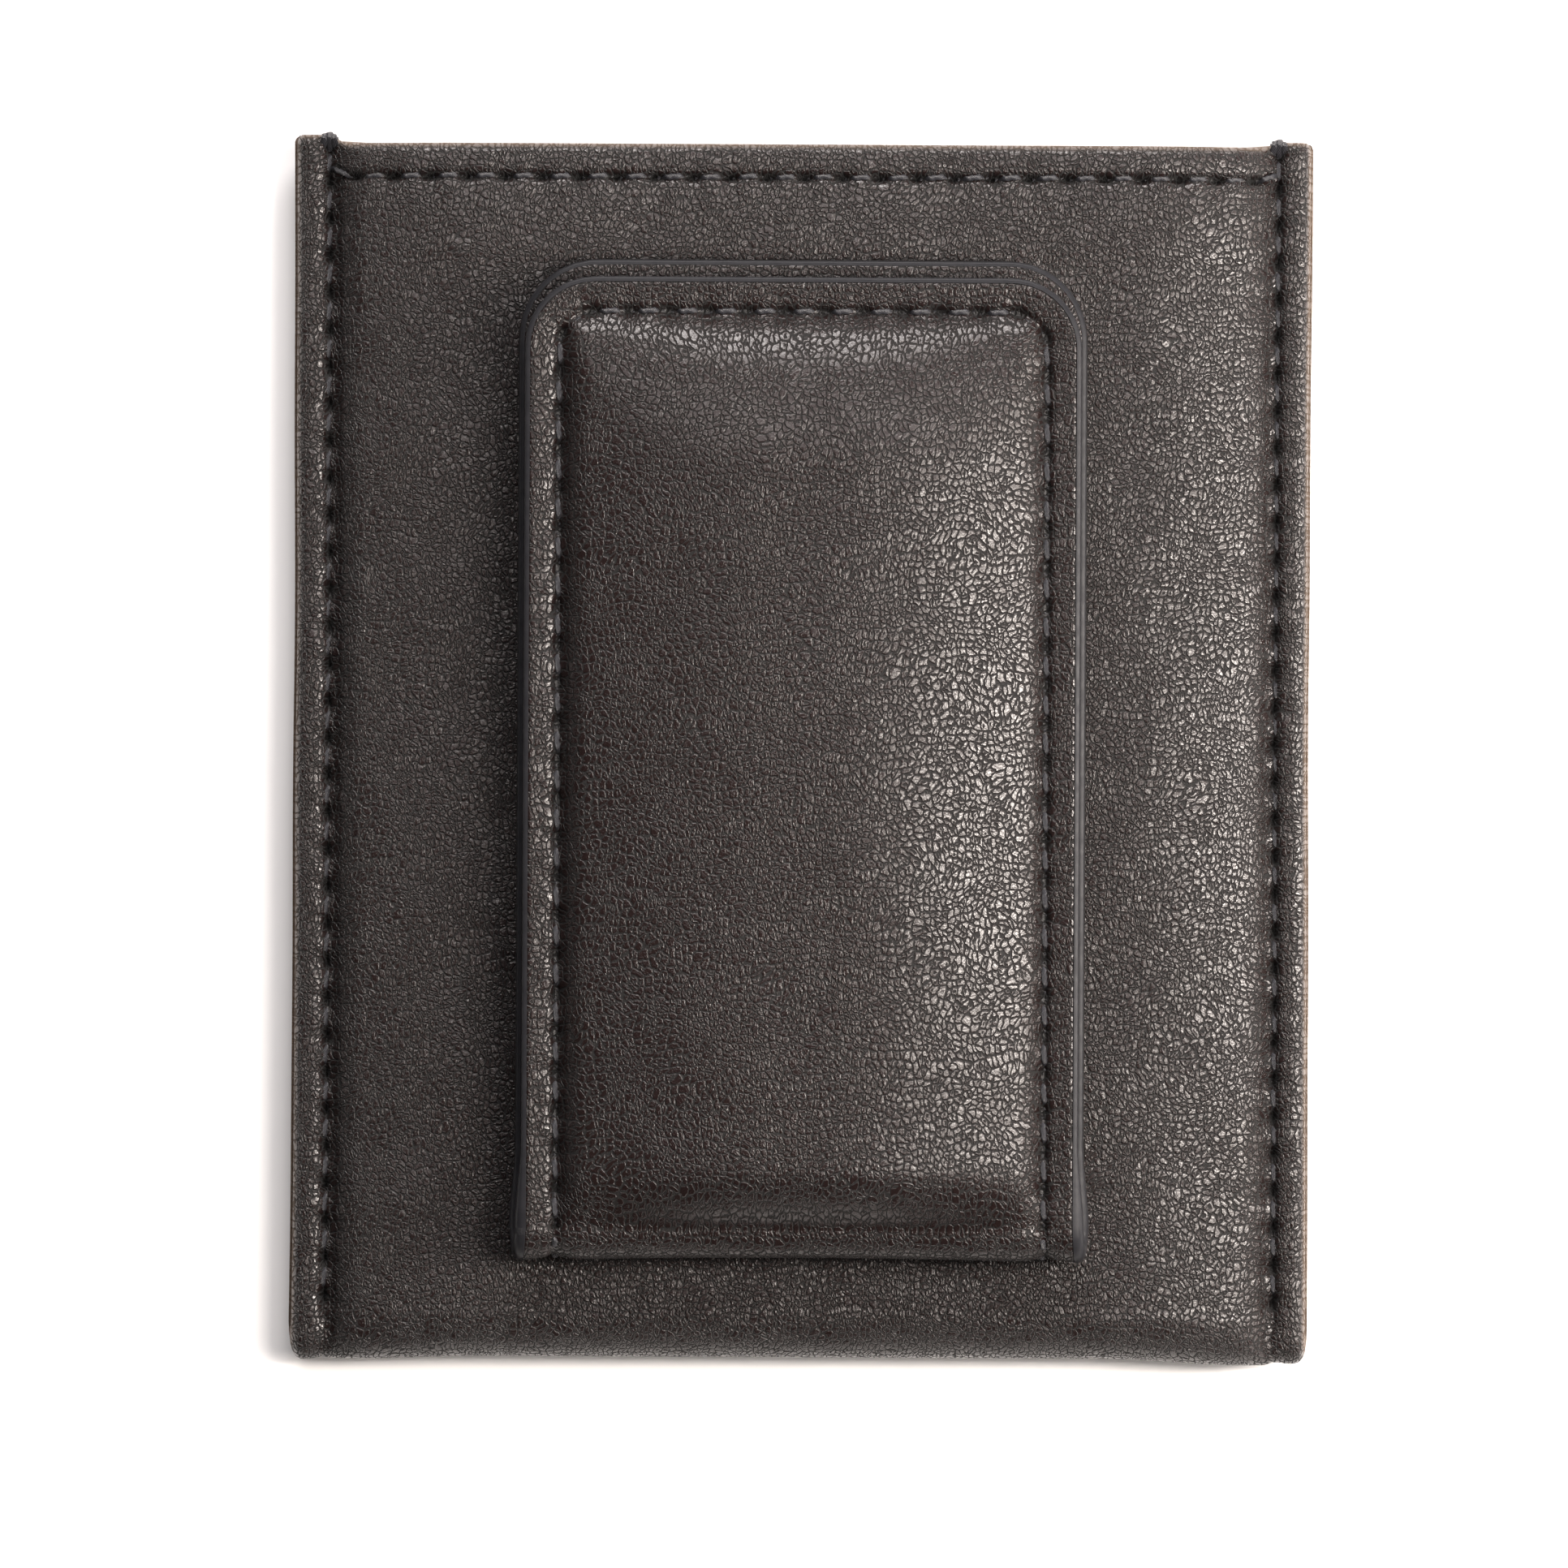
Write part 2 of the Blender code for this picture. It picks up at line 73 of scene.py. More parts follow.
# Its side wings and their seams.
WING_TOP_Z = 4.95 * MM
WING_LOW_Z = 1.85 * MM
WING_T = 1.45 * MM
SEAM_INSET = 2.75 * MM
SLOPE_START = 3.35 * MM
FRONT_SLOPE = 12.0 * MM
STEEP_SLOPE = 2.6 * MM
STEEP_SHARE = 0.42
BACK_SLOPE = 7.0 * MM
SEAM_BOTTOM_Y = BOTTOM_Y + 2.4 * MM
ROLL_PEAK = 1.3 * MM
ROLL_HALF = 1.5 * MM
ROLL_RISE = 0.36 * MM
WING_EDGE_R = 0.9 * MM
BACK_OVERHANG = 0.12 * MM
LEFT_CORNER_R = 0.85 * MM
RIGHT_CORNER_R = 0.45 * MM
LEFT_SAG = 0.28 * MM
RIGHT_SAG = 0.48 * MM
FOLD_STEPS = 30

# Its mouth and hem.
MOUTH_DIP = 0.5 * MM
LEFT_LIFT = 0.25 * MM
MOUTH_CORNER_R = 0.55 * MM
MOUTH_FADE = 14.0 * MM
MOUTH_DROP = 0.2 * MM
MOUTH_SLOPE = 6.0 * MM
MOUTH_ROUND = 0.8 * MM
HEM_INSET = 2.7 * MM
HEM_ROLL = 0.16 * MM
HEM_STEP = 0.10 * MM

# Stitches.
SIDE_PITCH = 3.03 * MM
HEM_PITCH = 3.05 * MM
CLIP_PITCH = 3.15 * MM
PER_PITCH = 8
THREAD_R = 0.21 * MM
KNOT_R = 0.25 * MM
FIRST_HOLE = 2 * SIDE_PITCH / PER_PITCH
GROOVE_DEPTH = 0.20 * MM
GROOVE_WIDTH = 0.30 * MM
HOLE_DEPTH = 0.80 * MM
HOLE_WIDTH = 0.66 * MM
HOLE_ACROSS = 0.33 * MM
HOLE_SHADE = 1.3
SEAM_FADE = 0.8 * MM
STITCH_DIVE = 0.82 * MM

# The clip, from the frame.
BASE_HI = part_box("base_cover")[1]
FLAP_LO, FLAP_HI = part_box("flap_lining")
FOLD_LO, FOLD_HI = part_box("fold_cover")
BASE_HALF_W = BASE_HI.x
FLAP_HALF_W = FLAP_HI.x
ROOT_Y = FLAP_LO.y
FOLD_R = (FOLD_HI.z - FOLD_LO.z) / 2
FOLD_Y = FOLD_HI.y
FOLD_Z = (FOLD_HI.z + FOLD_LO.z) / 2
CLIP_T = 1.9 * MM
STRIP_LINING_T = 0.8 * MM
COVER_T = 0.95 * MM
BASE_LINING_Z = BASE_HI.z + 0.1 * MM
BASE_MARGIN_Z = BASE_LINING_Z + STRIP_LINING_T
FLAP_MARGIN_Z = FOLD_HI.z
BASE_CORNER_R = 6.4 * MM
FLAP_CORNER_R = 5.8 * MM
CLIP_SEAM_X = 19.75 * MM
PAINT_W = 0.42 * MM
PAINT_SHARE = 0.985
FOLD_BULGE = 1.2
COVER_FOLD_STEPS = 36
LINING_FOLD_STEPS = 30
FOLD_SAG = 0.32 * MM
EDGE_R = 0.3 * MM
BILL_EDGE_R = 0.2 * MM
BILL_SEAM_SHARE = 0.8
CORE_RISE = 1.1 * MM
CORE_SLOPE = 3.4 * MM
ROOT_RISE = 4.8 * MM
MARGIN_FALL = 0.3 * MM
DEEPEST = 0.85 * MM
QUICK_RISE = 0.75 * MM
QUICK_WIDTH = 2.0 * MM
CROWN = 2.7 * MM
CROWN_WIDTH = 17.0 * MM
CROWN_END = 12.5 * MM

# How much each plate of the leather's grain leans its own way.
PLATE_TILT = 0.35

FLAP_BODY = "flap"
CASE_BODY = "case"


def smooth(t):
    """A smooth step from 0 to 1, for arrays."""
    t = np.clip(t, 0, 1)
    return t * t * (3 - 2 * t)


def puff(t):
    """Rises steeply from 0 and levels out at 1."""
    return 1 - (1 - np.clip(t, 0, 1)) ** 2


def bell(distance, width):
    return np.exp(-((distance / width) ** 2))


def holes(along, first, pitch):
    """1 at each needle hole of a seam, falling off along it."""
    off = (along - first + pitch / 2) % pitch - pitch / 2
    return bell(off, HOLE_WIDTH)


def between_holes(along, first, pitch):
    """1 in the middle of each stitch and -1 at its holes."""
    return -np.cos(2 * math.pi * (along - first) / pitch)


def ripple(x, y, size, seed):
    """A slow, smooth, repeatable unevenness between about -1 and 1."""
    rng = np.random.default_rng(seed)
    total = np.zeros_like(x)
    for _ in range(5):
        angle = rng.uniform(0, 2 * math.pi)
        phase = rng.uniform(0, 2 * math.pi)
        stretch = rng.uniform(0.7, 1.5)
        wave = (x * math.cos(angle) + y * math.sin(angle)) * 2 * math.pi * stretch / size
        total = total + np.sin(wave + phase)
    return total / 3


class Builder:
    """Collects grids and walls of one closed mesh, with the leather's flat coordinates at each point."""

    def __init__(self):
        self.points, self.flat, self.rim, self.faces, self.slots = [], [], [], [], []
        self.count = 0

    def add(self, points, flat=None, rim=None):
        """Adds points, and gives their indices in the same arrangement."""
        points = np.asarray(points, float)
        shape = points.shape[:-1]
        number = int(np.prod(shape))
        flat = points if flat is None else flat
        rim = np.zeros(shape) if rim is None else np.broadcast_to(rim, shape)
        self.points.append(points.reshape(-1, 3))
        self.flat.append(np.asarray(flat, float).reshape(-1, 3))
        self.rim.append(np.asarray(rim, float).ravel())
        ids = np.arange(self.count, self.count + number).reshape(shape)
        self.count += number
        return ids

    def quads(self, ids, slot=0):
        """Faces between neighbours in a grid of indices."""
        quads = np.stack([ids[:-1, :-1], ids[:-1, 1:], ids[1:, 1:], ids[1:, :-1]], -1).reshape(-1, 4)
        self.faces += quads.tolist()
        self.slots += [slot] * len(quads)

    def wall(self, fine, coarse, stops, slot=0):
        """Faces from a fine row of points to a coarse one, whose points lie at the fine row's stops."""
        fine, coarse = list(map(int, fine)), list(map(int, coarse))
        for k in range(len(coarse) - 1):
            self.faces.append(fine[stops[k] : stops[k + 1] + 1] + [coarse[k + 1], coarse[k]])
            self.slots.append(slot)

    def slab(self, top, under, top_flat=None, under_flat=None):
        """A closed sheet between two grids of points."""
        top_ids, under_ids = self.add(top, top_flat), self.add(under, under_flat)
        self.quads(top_ids)
        self.quads(under_ids)
        for side in (lambda g: g[0], lambda g: g[-1], lambda g: g[:, 0], lambda g: g[:, -1]):
            self.quads(np.stack([side(top_ids), side(under_ids)]))

    def set_values(self, mesh, name, kind, key, values):
        """Gives each point of the mesh its value of an attribute."""
        mesh.attributes.new(name, kind, "POINT")
        mesh.attributes[name].data.foreach_set(key, np.concatenate(values).astype(np.float32).ravel())

    def build(self, name, materials, sharp=50):
        """Makes the object, with coinciding points joined and faces turned outwards."""
        mesh = bpy.data.meshes.new(name)
        mesh.from_pydata(np.concatenate(self.points).tolist(), [], self.faces)
        mesh.polygons.foreach_set("material_index", np.array(self.slots, np.int32))
        self.set_values(mesh, "flat", "FLOAT_VECTOR", "vector", self.flat)
        self.set_values(mesh, "rim", "FLOAT", "value", self.rim)
        bm = bmesh.new()
        bm.from_mesh(mesh)
        bmesh.ops.remove_doubles(bm, verts=bm.verts, dist=0.000002)
        bmesh.ops.dissolve_degenerate(bm, edges=bm.edges, dist=0.0000005)
        bmesh.ops.recalc_face_normals(bm, faces=bm.faces)
        bm.to_mesh(mesh)
        bm.free()
        for material in materials:
            mesh.materials.append(material)
        mesh.shade_smooth()
        mesh.set_sharp_from_angle(angle=math.radians(sharp))
        obj = bpy.data.objects.new(name, mesh)
        bpy.context.scene.collection.objects.link(obj)
        return obj


def show(obj, body, node):
    """Puts a piece on a body, in place of a CAD node."""
    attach(obj, body)
    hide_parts(node)
    return obj


def show_bent(obj, slot, *nodes):
    """Bakes a piece's place into its points, and hides the CAD nodes that it stands for."""
    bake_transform(obj)
    if nodes:
        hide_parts(*nodes)


# The case's walls.


def from_side(x):
    return HALF_W - np.abs(x)


def corner_cut(side, radius):
    """How much a rounded corner takes off the length, at that distance in from the side."""
    into = np.clip(radius - side, 0, radius)
    return radius - np.sqrt(radius**2 - into**2)


def mouth_y(x):
    side = from_side(x)
    inner = smooth((side - 2.2 * MM) / (2.4 * MM))
    lift = LEFT_LIFT * (1 - inner) * (x < 0)
    return TOP_Y + lift - MOUTH_DIP * inner - corner_cut(side, MOUTH_CORNER_R)


def mouth_fall(x, down):
    """How much lower than the top the rows lie, which fades out down the case."""
    return (TOP_Y - mouth_y(x)) * (1 - smooth(down / MOUTH_FADE))


def front_z(x, down):
    """The front rises steeply beside the seam, then rounds off on to the flat middle."""
    drop = MOUTH_DROP * smooth(1 - down / MOUTH_SLOPE)
    start = from_side(x) - SLOPE_START
    share = STEEP_SHARE * puff(start / STEEP_SLOPE) + (1 - STEEP_SHARE) * puff(start / FRONT_SLOPE)
    return WING_TOP_Z + (FRONT_Z - WING_TOP_Z - drop) * share


def back_z(x):
    return WING_LOW_Z * (1 - puff((from_side(x) - SLOPE_START) / BACK_SLOPE))


def wing_relief(side):
    """The wing's convex roll, round at the outer edge and falling into the seam."""
    roll = ROLL_RISE * (1 - ((side - ROLL_PEAK) / ROLL_HALF) ** 2)
    roll = np.where(side < SEAM_INSET, roll, 0)
    return roll - 0.9 * corner_cut(side, WING_EDGE_R)


def seam_run(y):
    """1 along a side seam, fading to 0 at its lower end."""
    return smooth((y - SEAM_BOTTOM_Y) / SEAM_FADE)


def hem_run(side):
    """1 along the hem, fading to 0 at the side seam."""
    return smooth((side - SEAM_INSET) / (0.5 * MM))


def seam_relief(side, down, y):
    """A side seam: its groove, needle holes, and the leather drawn in between them."""
    across = side - SEAM_INSET
    pits = holes(down, FIRST_HOLE, SIDE_PITCH) * bell(across, HOLE_ACROSS)
    pucker = between_holes(down, FIRST_HOLE, SIDE_PITCH)
    swell = 0.075 * MM * pucker * (bell(side - 1.95 * MM, 0.55 * MM) + bell(side - 3.9 * MM, 0.8 * MM))
    return seam_run(y) * (swell - GROOVE_DEPTH * bell(across, GROOVE_WIDTH) - HOLE_DEPTH * pits)


def hem_relief(x, side, down):
    """The mouth's hem: a round edge, a shallow roll, its seam, and the step where the turning ends."""
    roll = HEM_ROLL * np.clip(1 - ((down - 1.5 * MM) / (1.25 * MM)) ** 2, 0, 1)
    across = down - HEM_INSET
    pits = holes(x, 0, HEM_PITCH) * bell(across - 0.1 * MM, HOLE_ACROSS)
    pucker = between_holes(x, 0, HEM_PITCH)
    swell = 0.06 * MM * pucker * (bell(down - 1.7 * MM, 0.5 * MM) + bell(down - 3.7 * MM, 0.7 * MM))
    step = HEM_STEP * smooth((down - HEM_DEPTH + 0.6 * MM) / (1.6 * MM))
    seam = GROOVE_DEPTH * bell(across, GROOVE_WIDTH) + HOLE_DEPTH * pits
    return hem_run(side) * (roll + swell - seam - step) - corner_cut(down, MOUTH_ROUND)


def hole_shade_marks(x, downs):
    """Painted shade in the needle holes: how much darker they make the leather's colour, on the grid above
    the bottom fold.
    """
    X, D = np.meshgrid(x, downs)
    side = from_side(X)
    down = mouth_y(X) - TOP_Y + D + mouth_fall(X, D)
    seam = seam_run(TOP_Y - D) * holes(down, FIRST_HOLE, SIDE_PITCH) * bell(side - SEAM_INSET, HOLE_ACROSS)
    hem = hem_run(side) * holes(X, 0, HEM_PITCH) * bell(down - HEM_INSET - 0.1 * MM, HOLE_ACROSS)
    return np.clip(HOLE_SHADE * np.maximum(seam, hem), 0, 1)


def case_relief(x, y, down, is_front):
    side = from_side(x)
    relief = wing_relief(side) + seam_relief(side, down, y) + hem_relief(x, side, down)
    if not is_front:
        flat = smooth((side - 8 * MM) / (2 * MM))
        return np.where(relief > 0, relief * (1 - flat), relief)
    panel = smooth((side - 4 * MM) / (4 * MM))
    return relief + panel * (0.07 * MM * ripple(x, y, 30 * MM, 3) + 0.035 * MM * ripple(x, y, 11 * MM, 4))


def edge_wander(x, y, seed):
    """Small sideways unevenness of the wings' edges, fading out inside the seam."""
    fade = 1 - smooth((from_side(x) - 2 * MM) / (6 * MM))
    side = np.sign(x)
    waist = 0.12 * MM * (1 - (y / TOP_Y) ** 2)
    uneven = 0.06 * MM * ripple(y + side * 7 * MM, side * 3 * MM + 0 * y, 34 * MM, seed)
    return side * fade * (uneven - waist)


def overhang(x):
    """How far the back wall's edge stands out, and the front wall's in."""
    return np.sign(x) * BACK_OVERHANG * (1 - smooth(from_side(x) / (2 * MM)))


# Distances in from the side, in millimetres, of the columns over a wing.
WING_COLUMNS = (0, 0.08, 0.2, 0.38, 0.6, 0.9, 1.25, 1.6, 1.9, 2.15, 2.35,
                2.5, 2.62, 2.75, 2.88, 3.0, 3.15, 3.4, 3.7)


def case_columns():
    """X of the mesh's columns: fine across the wings, and a whole number of columns to each hem stitch."""
    step = HEM_PITCH / PER_PITCH
    number = int((HALF_W - 4.1 * MM) / step)
    middle = np.arange(-number, number + 1) * step
    band = HALF_W + middle[0]
    near = np.array(WING_COLUMNS)
    side = near[near * MM < band - 0.15 * MM] * MM - HALF_W
    return np.concatenate([side, middle, -side[::-1]])


def case_downs(step):
    """Distances down from the mouth of the mesh's rows, finer at the rim and in the hem's seam."""
    centre_y = BOTTOM_Y + FRONT_Z / 2
    even = np.arange(0, TOP_Y - centre_y, step)
    rim = np.array([0.05, 0.14, 0.27, 0.6]) * MM
    seam = HEM_INSET + np.array([-0.65, -0.5, -0.36, -0.24, -0.12, 0, 0.12, 0.24, 0.36, 0.5, 0.65]) * MM
    clear = even[np.abs(even - HEM_INSET) > 0.72 * MM]
    rows = np.unique(np.concatenate([clear, rim, seam]).round(7))
    keep = np.concatenate([[True], np.diff(rows) > 0.03 * MM])
    return np.append(rows[keep], TOP_Y - centre_y)


def straight_wall(x, downs, is_front, depth=0.0, relief=True):
    """Points and flat coordinates of one wall above the bottom fold. depth moves them inwards."""
    X, D = np.meshgrid(x, downs)
    Y = TOP_Y - D - mouth_fall(X, D)
    down = mouth_y(X) - Y
    lift = (case_relief(X, Y, down, is_front) if relief else 0) - depth
    Z = front_z(X, down) + lift if is_front else back_z(X) - lift
    shifted = X + edge_wander(X, Y, 5) + (-overhang(X) if is_front else overhang(X))
    return np.stack([shifted, Y, Z], -1), np.stack([X, Y, 0 * Y], -1)


def bottom_sag(x):
    """How far the bottom hangs lower beside each seam, and how much the corners take off."""
    side = from_side(x)
    beside = smooth((np.abs(x) - 25 * MM) / (11 * MM)) * smooth((side - 2.0 * MM) / (1.6 * MM))
    sag = np.where(x > 0, RIGHT_SAG, LEFT_SAG) * beside
    return sag - corner_cut(side, np.where(x > 0, RIGHT_CORNER_R, LEFT_CORNER_R))


def bottom_fold(x, steps, depth=0.0, relief=True):
    """Points round the bottom, from the front wall's end to the back wall's, with the wings' shorter turn."""
    front, back = front_z(x, np.full_like(x, 50 * MM)), back_z(x)
    radius = (front - back) / 2
    middle = (front + back) / 2
    centre_y = BOTTOM_Y + FRONT_Z / 2
    straight = FRONT_Z / 2 - radius + bottom_sag(x)
    length = 2 * straight + math.pi * radius
    rows, flats = [], []
    for k in range(steps + 1):
        along = length * k / steps
        turn = np.clip((along - straight) / radius, 0, math.pi)
        before = np.minimum(along, straight)
        after = np.clip(along - straight - math.pi * radius, 0, None)
        y = centre_y - before - radius * np.sin(turn) + after
        lift = -depth
        if relief:
            side = from_side(x)
            flat_share = np.cos(turn) ** 2
            lift = lift + wing_relief(side) + flat_share * seam_relief(side, TOP_Y - y, y)
        Y = y - lift * np.sin(turn)
        Z = middle + (radius + lift) * np.cos(turn)
        shifted = x + edge_wander(x, y, 5) - overhang(x) * np.cos(turn)
        rows.append(np.stack([shifted, Y, Z], -1))
        flats.append(np.stack([x, centre_y - along, 0 * x], -1))
    return np.array(rows), np.array(flats)


def leather_depth(x, downs):
    """Thickness of the leather on the grid: turned in at the mouth, and doubled along the wings."""
    X, D = np.meshgrid(x, downs)
    wing = 1 - smooth((from_side(X) - 2.9 * MM) / (1.2 * MM))
    turned = (D < HEM_DEPTH + 0.2 * MM) & (from_side(X) > 4.5 * MM)
    return LEATHER_T + (WING_T - LEATHER_T) * wing + (HEM_T - LEATHER_T) * turned


def wall_grids(x, downs, is_front, with_fold):
    """Outer and inner points of one wall and their flat coordinates, the front's with the bottom fold."""
    outer = straight_wall(x, downs, is_front)
    inner = straight_wall(x, downs, is_front, leather_depth(x, downs), relief=False)
    if with_fold:
        fold = bottom_fold(x, FOLD_STEPS)
        inner_fold = bottom_fold(x, FOLD_STEPS, leather_depth(x, downs[-1:])[0], relief=False)
        outer = [np.concatenate([wall, turn[1:]]) for wall, turn in zip(outer, fold)]
        inner = [np.concatenate([wall, turn[1:]]) for wall, turn in zip(inner, inner_fold)]
    return *outer, *inner


def wall_rim(x, downs, row_count):
    """The rim value of a wall's points: 1 at its raw edges, and below 0 in the needle holes, where it paints
    shade into them.
    """
    down_of_row = np.append(downs, np.full(row_count - len(downs), 1.0))
    top = np.clip(1 - down_of_row / (0.42 * MM), 0, 1)[:, None] * np.ones(len(x))
    side = np.clip(1 - from_side(x) / (0.3 * MM), 0, 1)[None, :]
    marks = np.concatenate([hole_shade_marks(x, downs), np.zeros((row_count - len(downs), len(x)))])
    return np.maximum(top, side) - marks


def wall_piece(name, is_front, with_fold, leather, edge):
    """One wall of the case's leather as a closed sheet, fine outside and coarse inside."""
    x = case_columns()
    downs = case_downs(SIDE_PITCH / PER_PITCH)
    outer, flat, inner, inner_flat = wall_grids(x, downs, is_front, with_fold)
    row_count, column_count = outer.shape[:2]
    near = np.searchsorted(downs, HEM_DEPTH)
    rows = sorted({0, near, near + 1, len(downs) - 1, row_count - 1, *range(0, row_count, 6)})
    wing = 18
    last = column_count - wing
    columns = sorted({*range(0, wing, 3), *range(wing, last, 8), *range(last, column_count, 3),
                      column_count - 1})
    b = Builder()
    fine = b.add(outer, flat, wall_rim(x, downs, row_count))
    raw = np.clip(1 - from_side(x[columns]) / (0.5 * MM), 0, 1) * np.ones((len(rows), 1))
    coarse = b.add(inner[np.ix_(rows, columns)], inner_flat[np.ix_(rows, columns)], raw)
    b.quads(fine)
    b.quads(coarse)
    b.wall(fine[0], coarse[0], columns, 1)
    b.wall(fine[-1], coarse[-1], columns, 1)
    b.wall(fine[:, 0], coarse[:, 0], rows, 1)
    b.wall(fine[:, -1], coarse[:, -1], rows, 1)
    show(b.build(name, [leather, edge]), CASE_BODY, "case_shell")


def make_case(leather, edge):
    wall_piece("case_front_leather", True, True, leather, edge)
    wall_piece("case_back_leather", False, False, leather, edge)


def make_lining(fabric):
    """The pocket's lining: one sheet down the front, round the bottom and up the back."""
    inset = 3.1 * MM
    x = np.linspace(inset - HALF_W, HALF_W - inset, 61)
    downs = np.linspace(HEM_DEPTH + 0.5 * MM, TOP_Y - BOTTOM_Y - FRONT_Z / 2, 56)

    def layer(extra):
        over_board = smooth((from_side(x) - 9.0 * MM) / (2.5 * MM))
        depth = WALL_T - LINING_T - 0.6 * MM * (1 - over_board) + extra
        wave = 0.03 * MM * np.sin(x * 900)
        front = straight_wall(x, downs, True, depth + wave, relief=False)
        back = straight_wall(x, downs, False, depth + wave, relief=False)
        fold = bottom_fold(x, 16, depth + wave, relief=False)
        points, flats = (np.concatenate([front[k], fold[k][1:-1], back[k][::-1]]) for k in (0, 1))
        steps = np.linalg.norm(np.diff(points, axis=0, prepend=points[:1]), axis=-1)
        flats[..., 1] = np.cumsum(steps, axis=0)
        return points, flats

    outer, flat = layer(0)
    inner, _ = layer(LINING_T)
    b = Builder()
    b.slab(outer, inner, flat, flat)
    lining = b.build("pocket_lining_cloth", [fabric])
    show(lining, CASE_BODY, "pocket_lining")
    width = float(np.linalg.norm(np.diff(inner[20], axis=0), axis=-1).sum())


# The clip. Each half is drawn on a plan of rings that follow its rounded outline, round a square grid.


class Plan:
    """Rings and an inner grid over one half of the strip, with columns that carry on into the fold."""

    def __init__(self, half_w, top_y, corner_r, insets):
        self.half_w, self.top_y, self.corner_r = half_w, top_y, corner_r
        self.cx, self.cy = half_w - corner_r, top_y - corner_r
        self.seam_inset = half_w - CLIP_SEAM_X
        self.seam_r = corner_r - self.seam_inset
        self.insets = np.array(sorted({round(a, 7) for a in insets if a < corner_r} | {corner_r}))
        step = CLIP_PITCH / PER_PITCH
        self.side_ys = np.linspace(ROOT_Y, self.cy, int((self.cy - ROOT_Y) / step) + 1)
        self.top_xs = np.linspace(-self.cx, self.cx, int(2 * self.cx / step) + 1)
        self.corner_n = 16

    def ring(self, inset):
        """Points of the U at that inset."""
        half, r = self.half_w - inset, self.corner_r - inset
        angles = np.linspace(math.pi, math.pi / 2, self.corner_n + 1)[1:-1]
        corner = np.stack([r * np.cos(angles) - self.cx, r * np.sin(angles) + self.cy], -1)
        left = np.stack([np.full_like(self.side_ys, -half), self.side_ys], -1)
        top = np.stack([self.top_xs, np.full_like(self.top_xs, self.top_y - inset)], -1)
        mirror = np.array([-1, 1])
        return np.concatenate([left, corner, top, (corner * mirror)[::-1], (left * mirror)[::-1]])

    def grids(self):
        """The rings, and the square grid inside them, as arrays of (x, y)."""
        rings = np.array([self.ring(a) for a in self.insets])
        gx, gy = np.meshgrid(self.top_xs, self.side_ys)
        return rings, np.stack([gx, gy], -1)

    def columns(self):
        """X of the points along the root, from one side to the other."""
        left = -(self.half_w - self.insets)
        return np.concatenate([left[:-1], self.top_xs, -left[:-1][::-1]])

    def inset_of(self, xy):
        """Distance in from the outline."""
        x, y = np.abs(xy[..., 0]), xy[..., 1]
        dx, dy = np.maximum(x - self.cx, 0), np.maximum(y - self.cy, 0)
        inside = np.minimum(self.half_w - x, self.top_y - y)
        return np.where((dx > 0) & (dy > 0), self.corner_r - np.hypot(dx, dy), inside)

    def along(self, xy):
        """Distance along the seam from the root, on whichever side of the middle the point is."""
        x, y = np.abs(xy[..., 0]), xy[..., 1]
        side_end = self.cy - ROOT_Y
        angle = np.arctan2(np.maximum(y - self.cy, 0), np.maximum(x - self.cx, 1e-9))
        arc = side_end + self.seam_r * angle
        top = side_end + self.seam_r * math.pi / 2 + (self.cx - x)
        on_top = (x <= self.cx) & (self.top_y - y < self.half_w - x)
        return np.where(on_top, top, np.where(y <= self.cy, y - ROOT_Y, arc))

    def length(self):
        """Length of the seam from root to root."""
        return 2 * (self.cy - ROOT_Y) + math.pi * self.seam_r + 2 * self.cx

    def pitch(self):
        """A whole number of stitches from root to root."""
        return self.length() / round(self.length() / CLIP_PITCH)

    def seam(self, along):
        """(x, y) and direction on the seam at that distance from the left root."""
        cx, cy, r = self.cx, self.cy, self.seam_r
        side = cy - ROOT_Y
        arc = r * math.pi / 2
        if along <= side:
            return (-CLIP_SEAM_X, ROOT_Y + along), (0.0, 1.0)
        along -= side
        if along <= arc:
            a = math.pi - along / r
            return (-cx + r * math.cos(a), cy + r * math.sin(a)), (math.sin(a), -math.cos(a))
        along -= arc
        if along <= 2 * cx:
            return (-cx + along, cy + r), (1.0, 0.0)
        along -= 2 * cx
        if along <= arc:
            a = math.pi / 2 - along / r
            return (cx + r * math.cos(a), cy + r * math.sin(a)), (math.sin(a), -math.cos(a))
        return (CLIP_SEAM_X, cy - (along - arc)), (0.0, -1.0)


# The rings' distances in from the outline, in millimetres, with the seam at SEAM_RING.
RING_STEPS = (0, 0.05, 0.14, 0.28, 0.5, 0.8, 1.2, 1.6, 2.0, 2.25, 2.45, 2.6,
              2.72, 2.85, 2.98, 3.1, 3.25, 3.45, 3.7, 4.0, 4.4, 4.8, 5.3)
SEAM_RING = 2.85


def clip_plan(half_w, top_y, corner_r):
    """A plan whose leather stops short of the outline by the painted edge's width."""
    leather_w, leather_r = half_w - PAINT_W, corner_r - PAINT_W
    shift = (leather_w - CLIP_SEAM_X) / MM - SEAM_RING
    insets = [a * MM if a < 1 else (a + shift) * MM for a in RING_STEPS]
    return Plan(leather_w, top_y - PAINT_W, leather_r, insets)


BASE_PLAN = clip_plan(BASE_HALF_W, BASE_HI.y, BASE_CORNER_R)
FLAP_PLAN = clip_plan(FLAP_HALF_W, FLAP_HI.y, FLAP_CORNER_R)


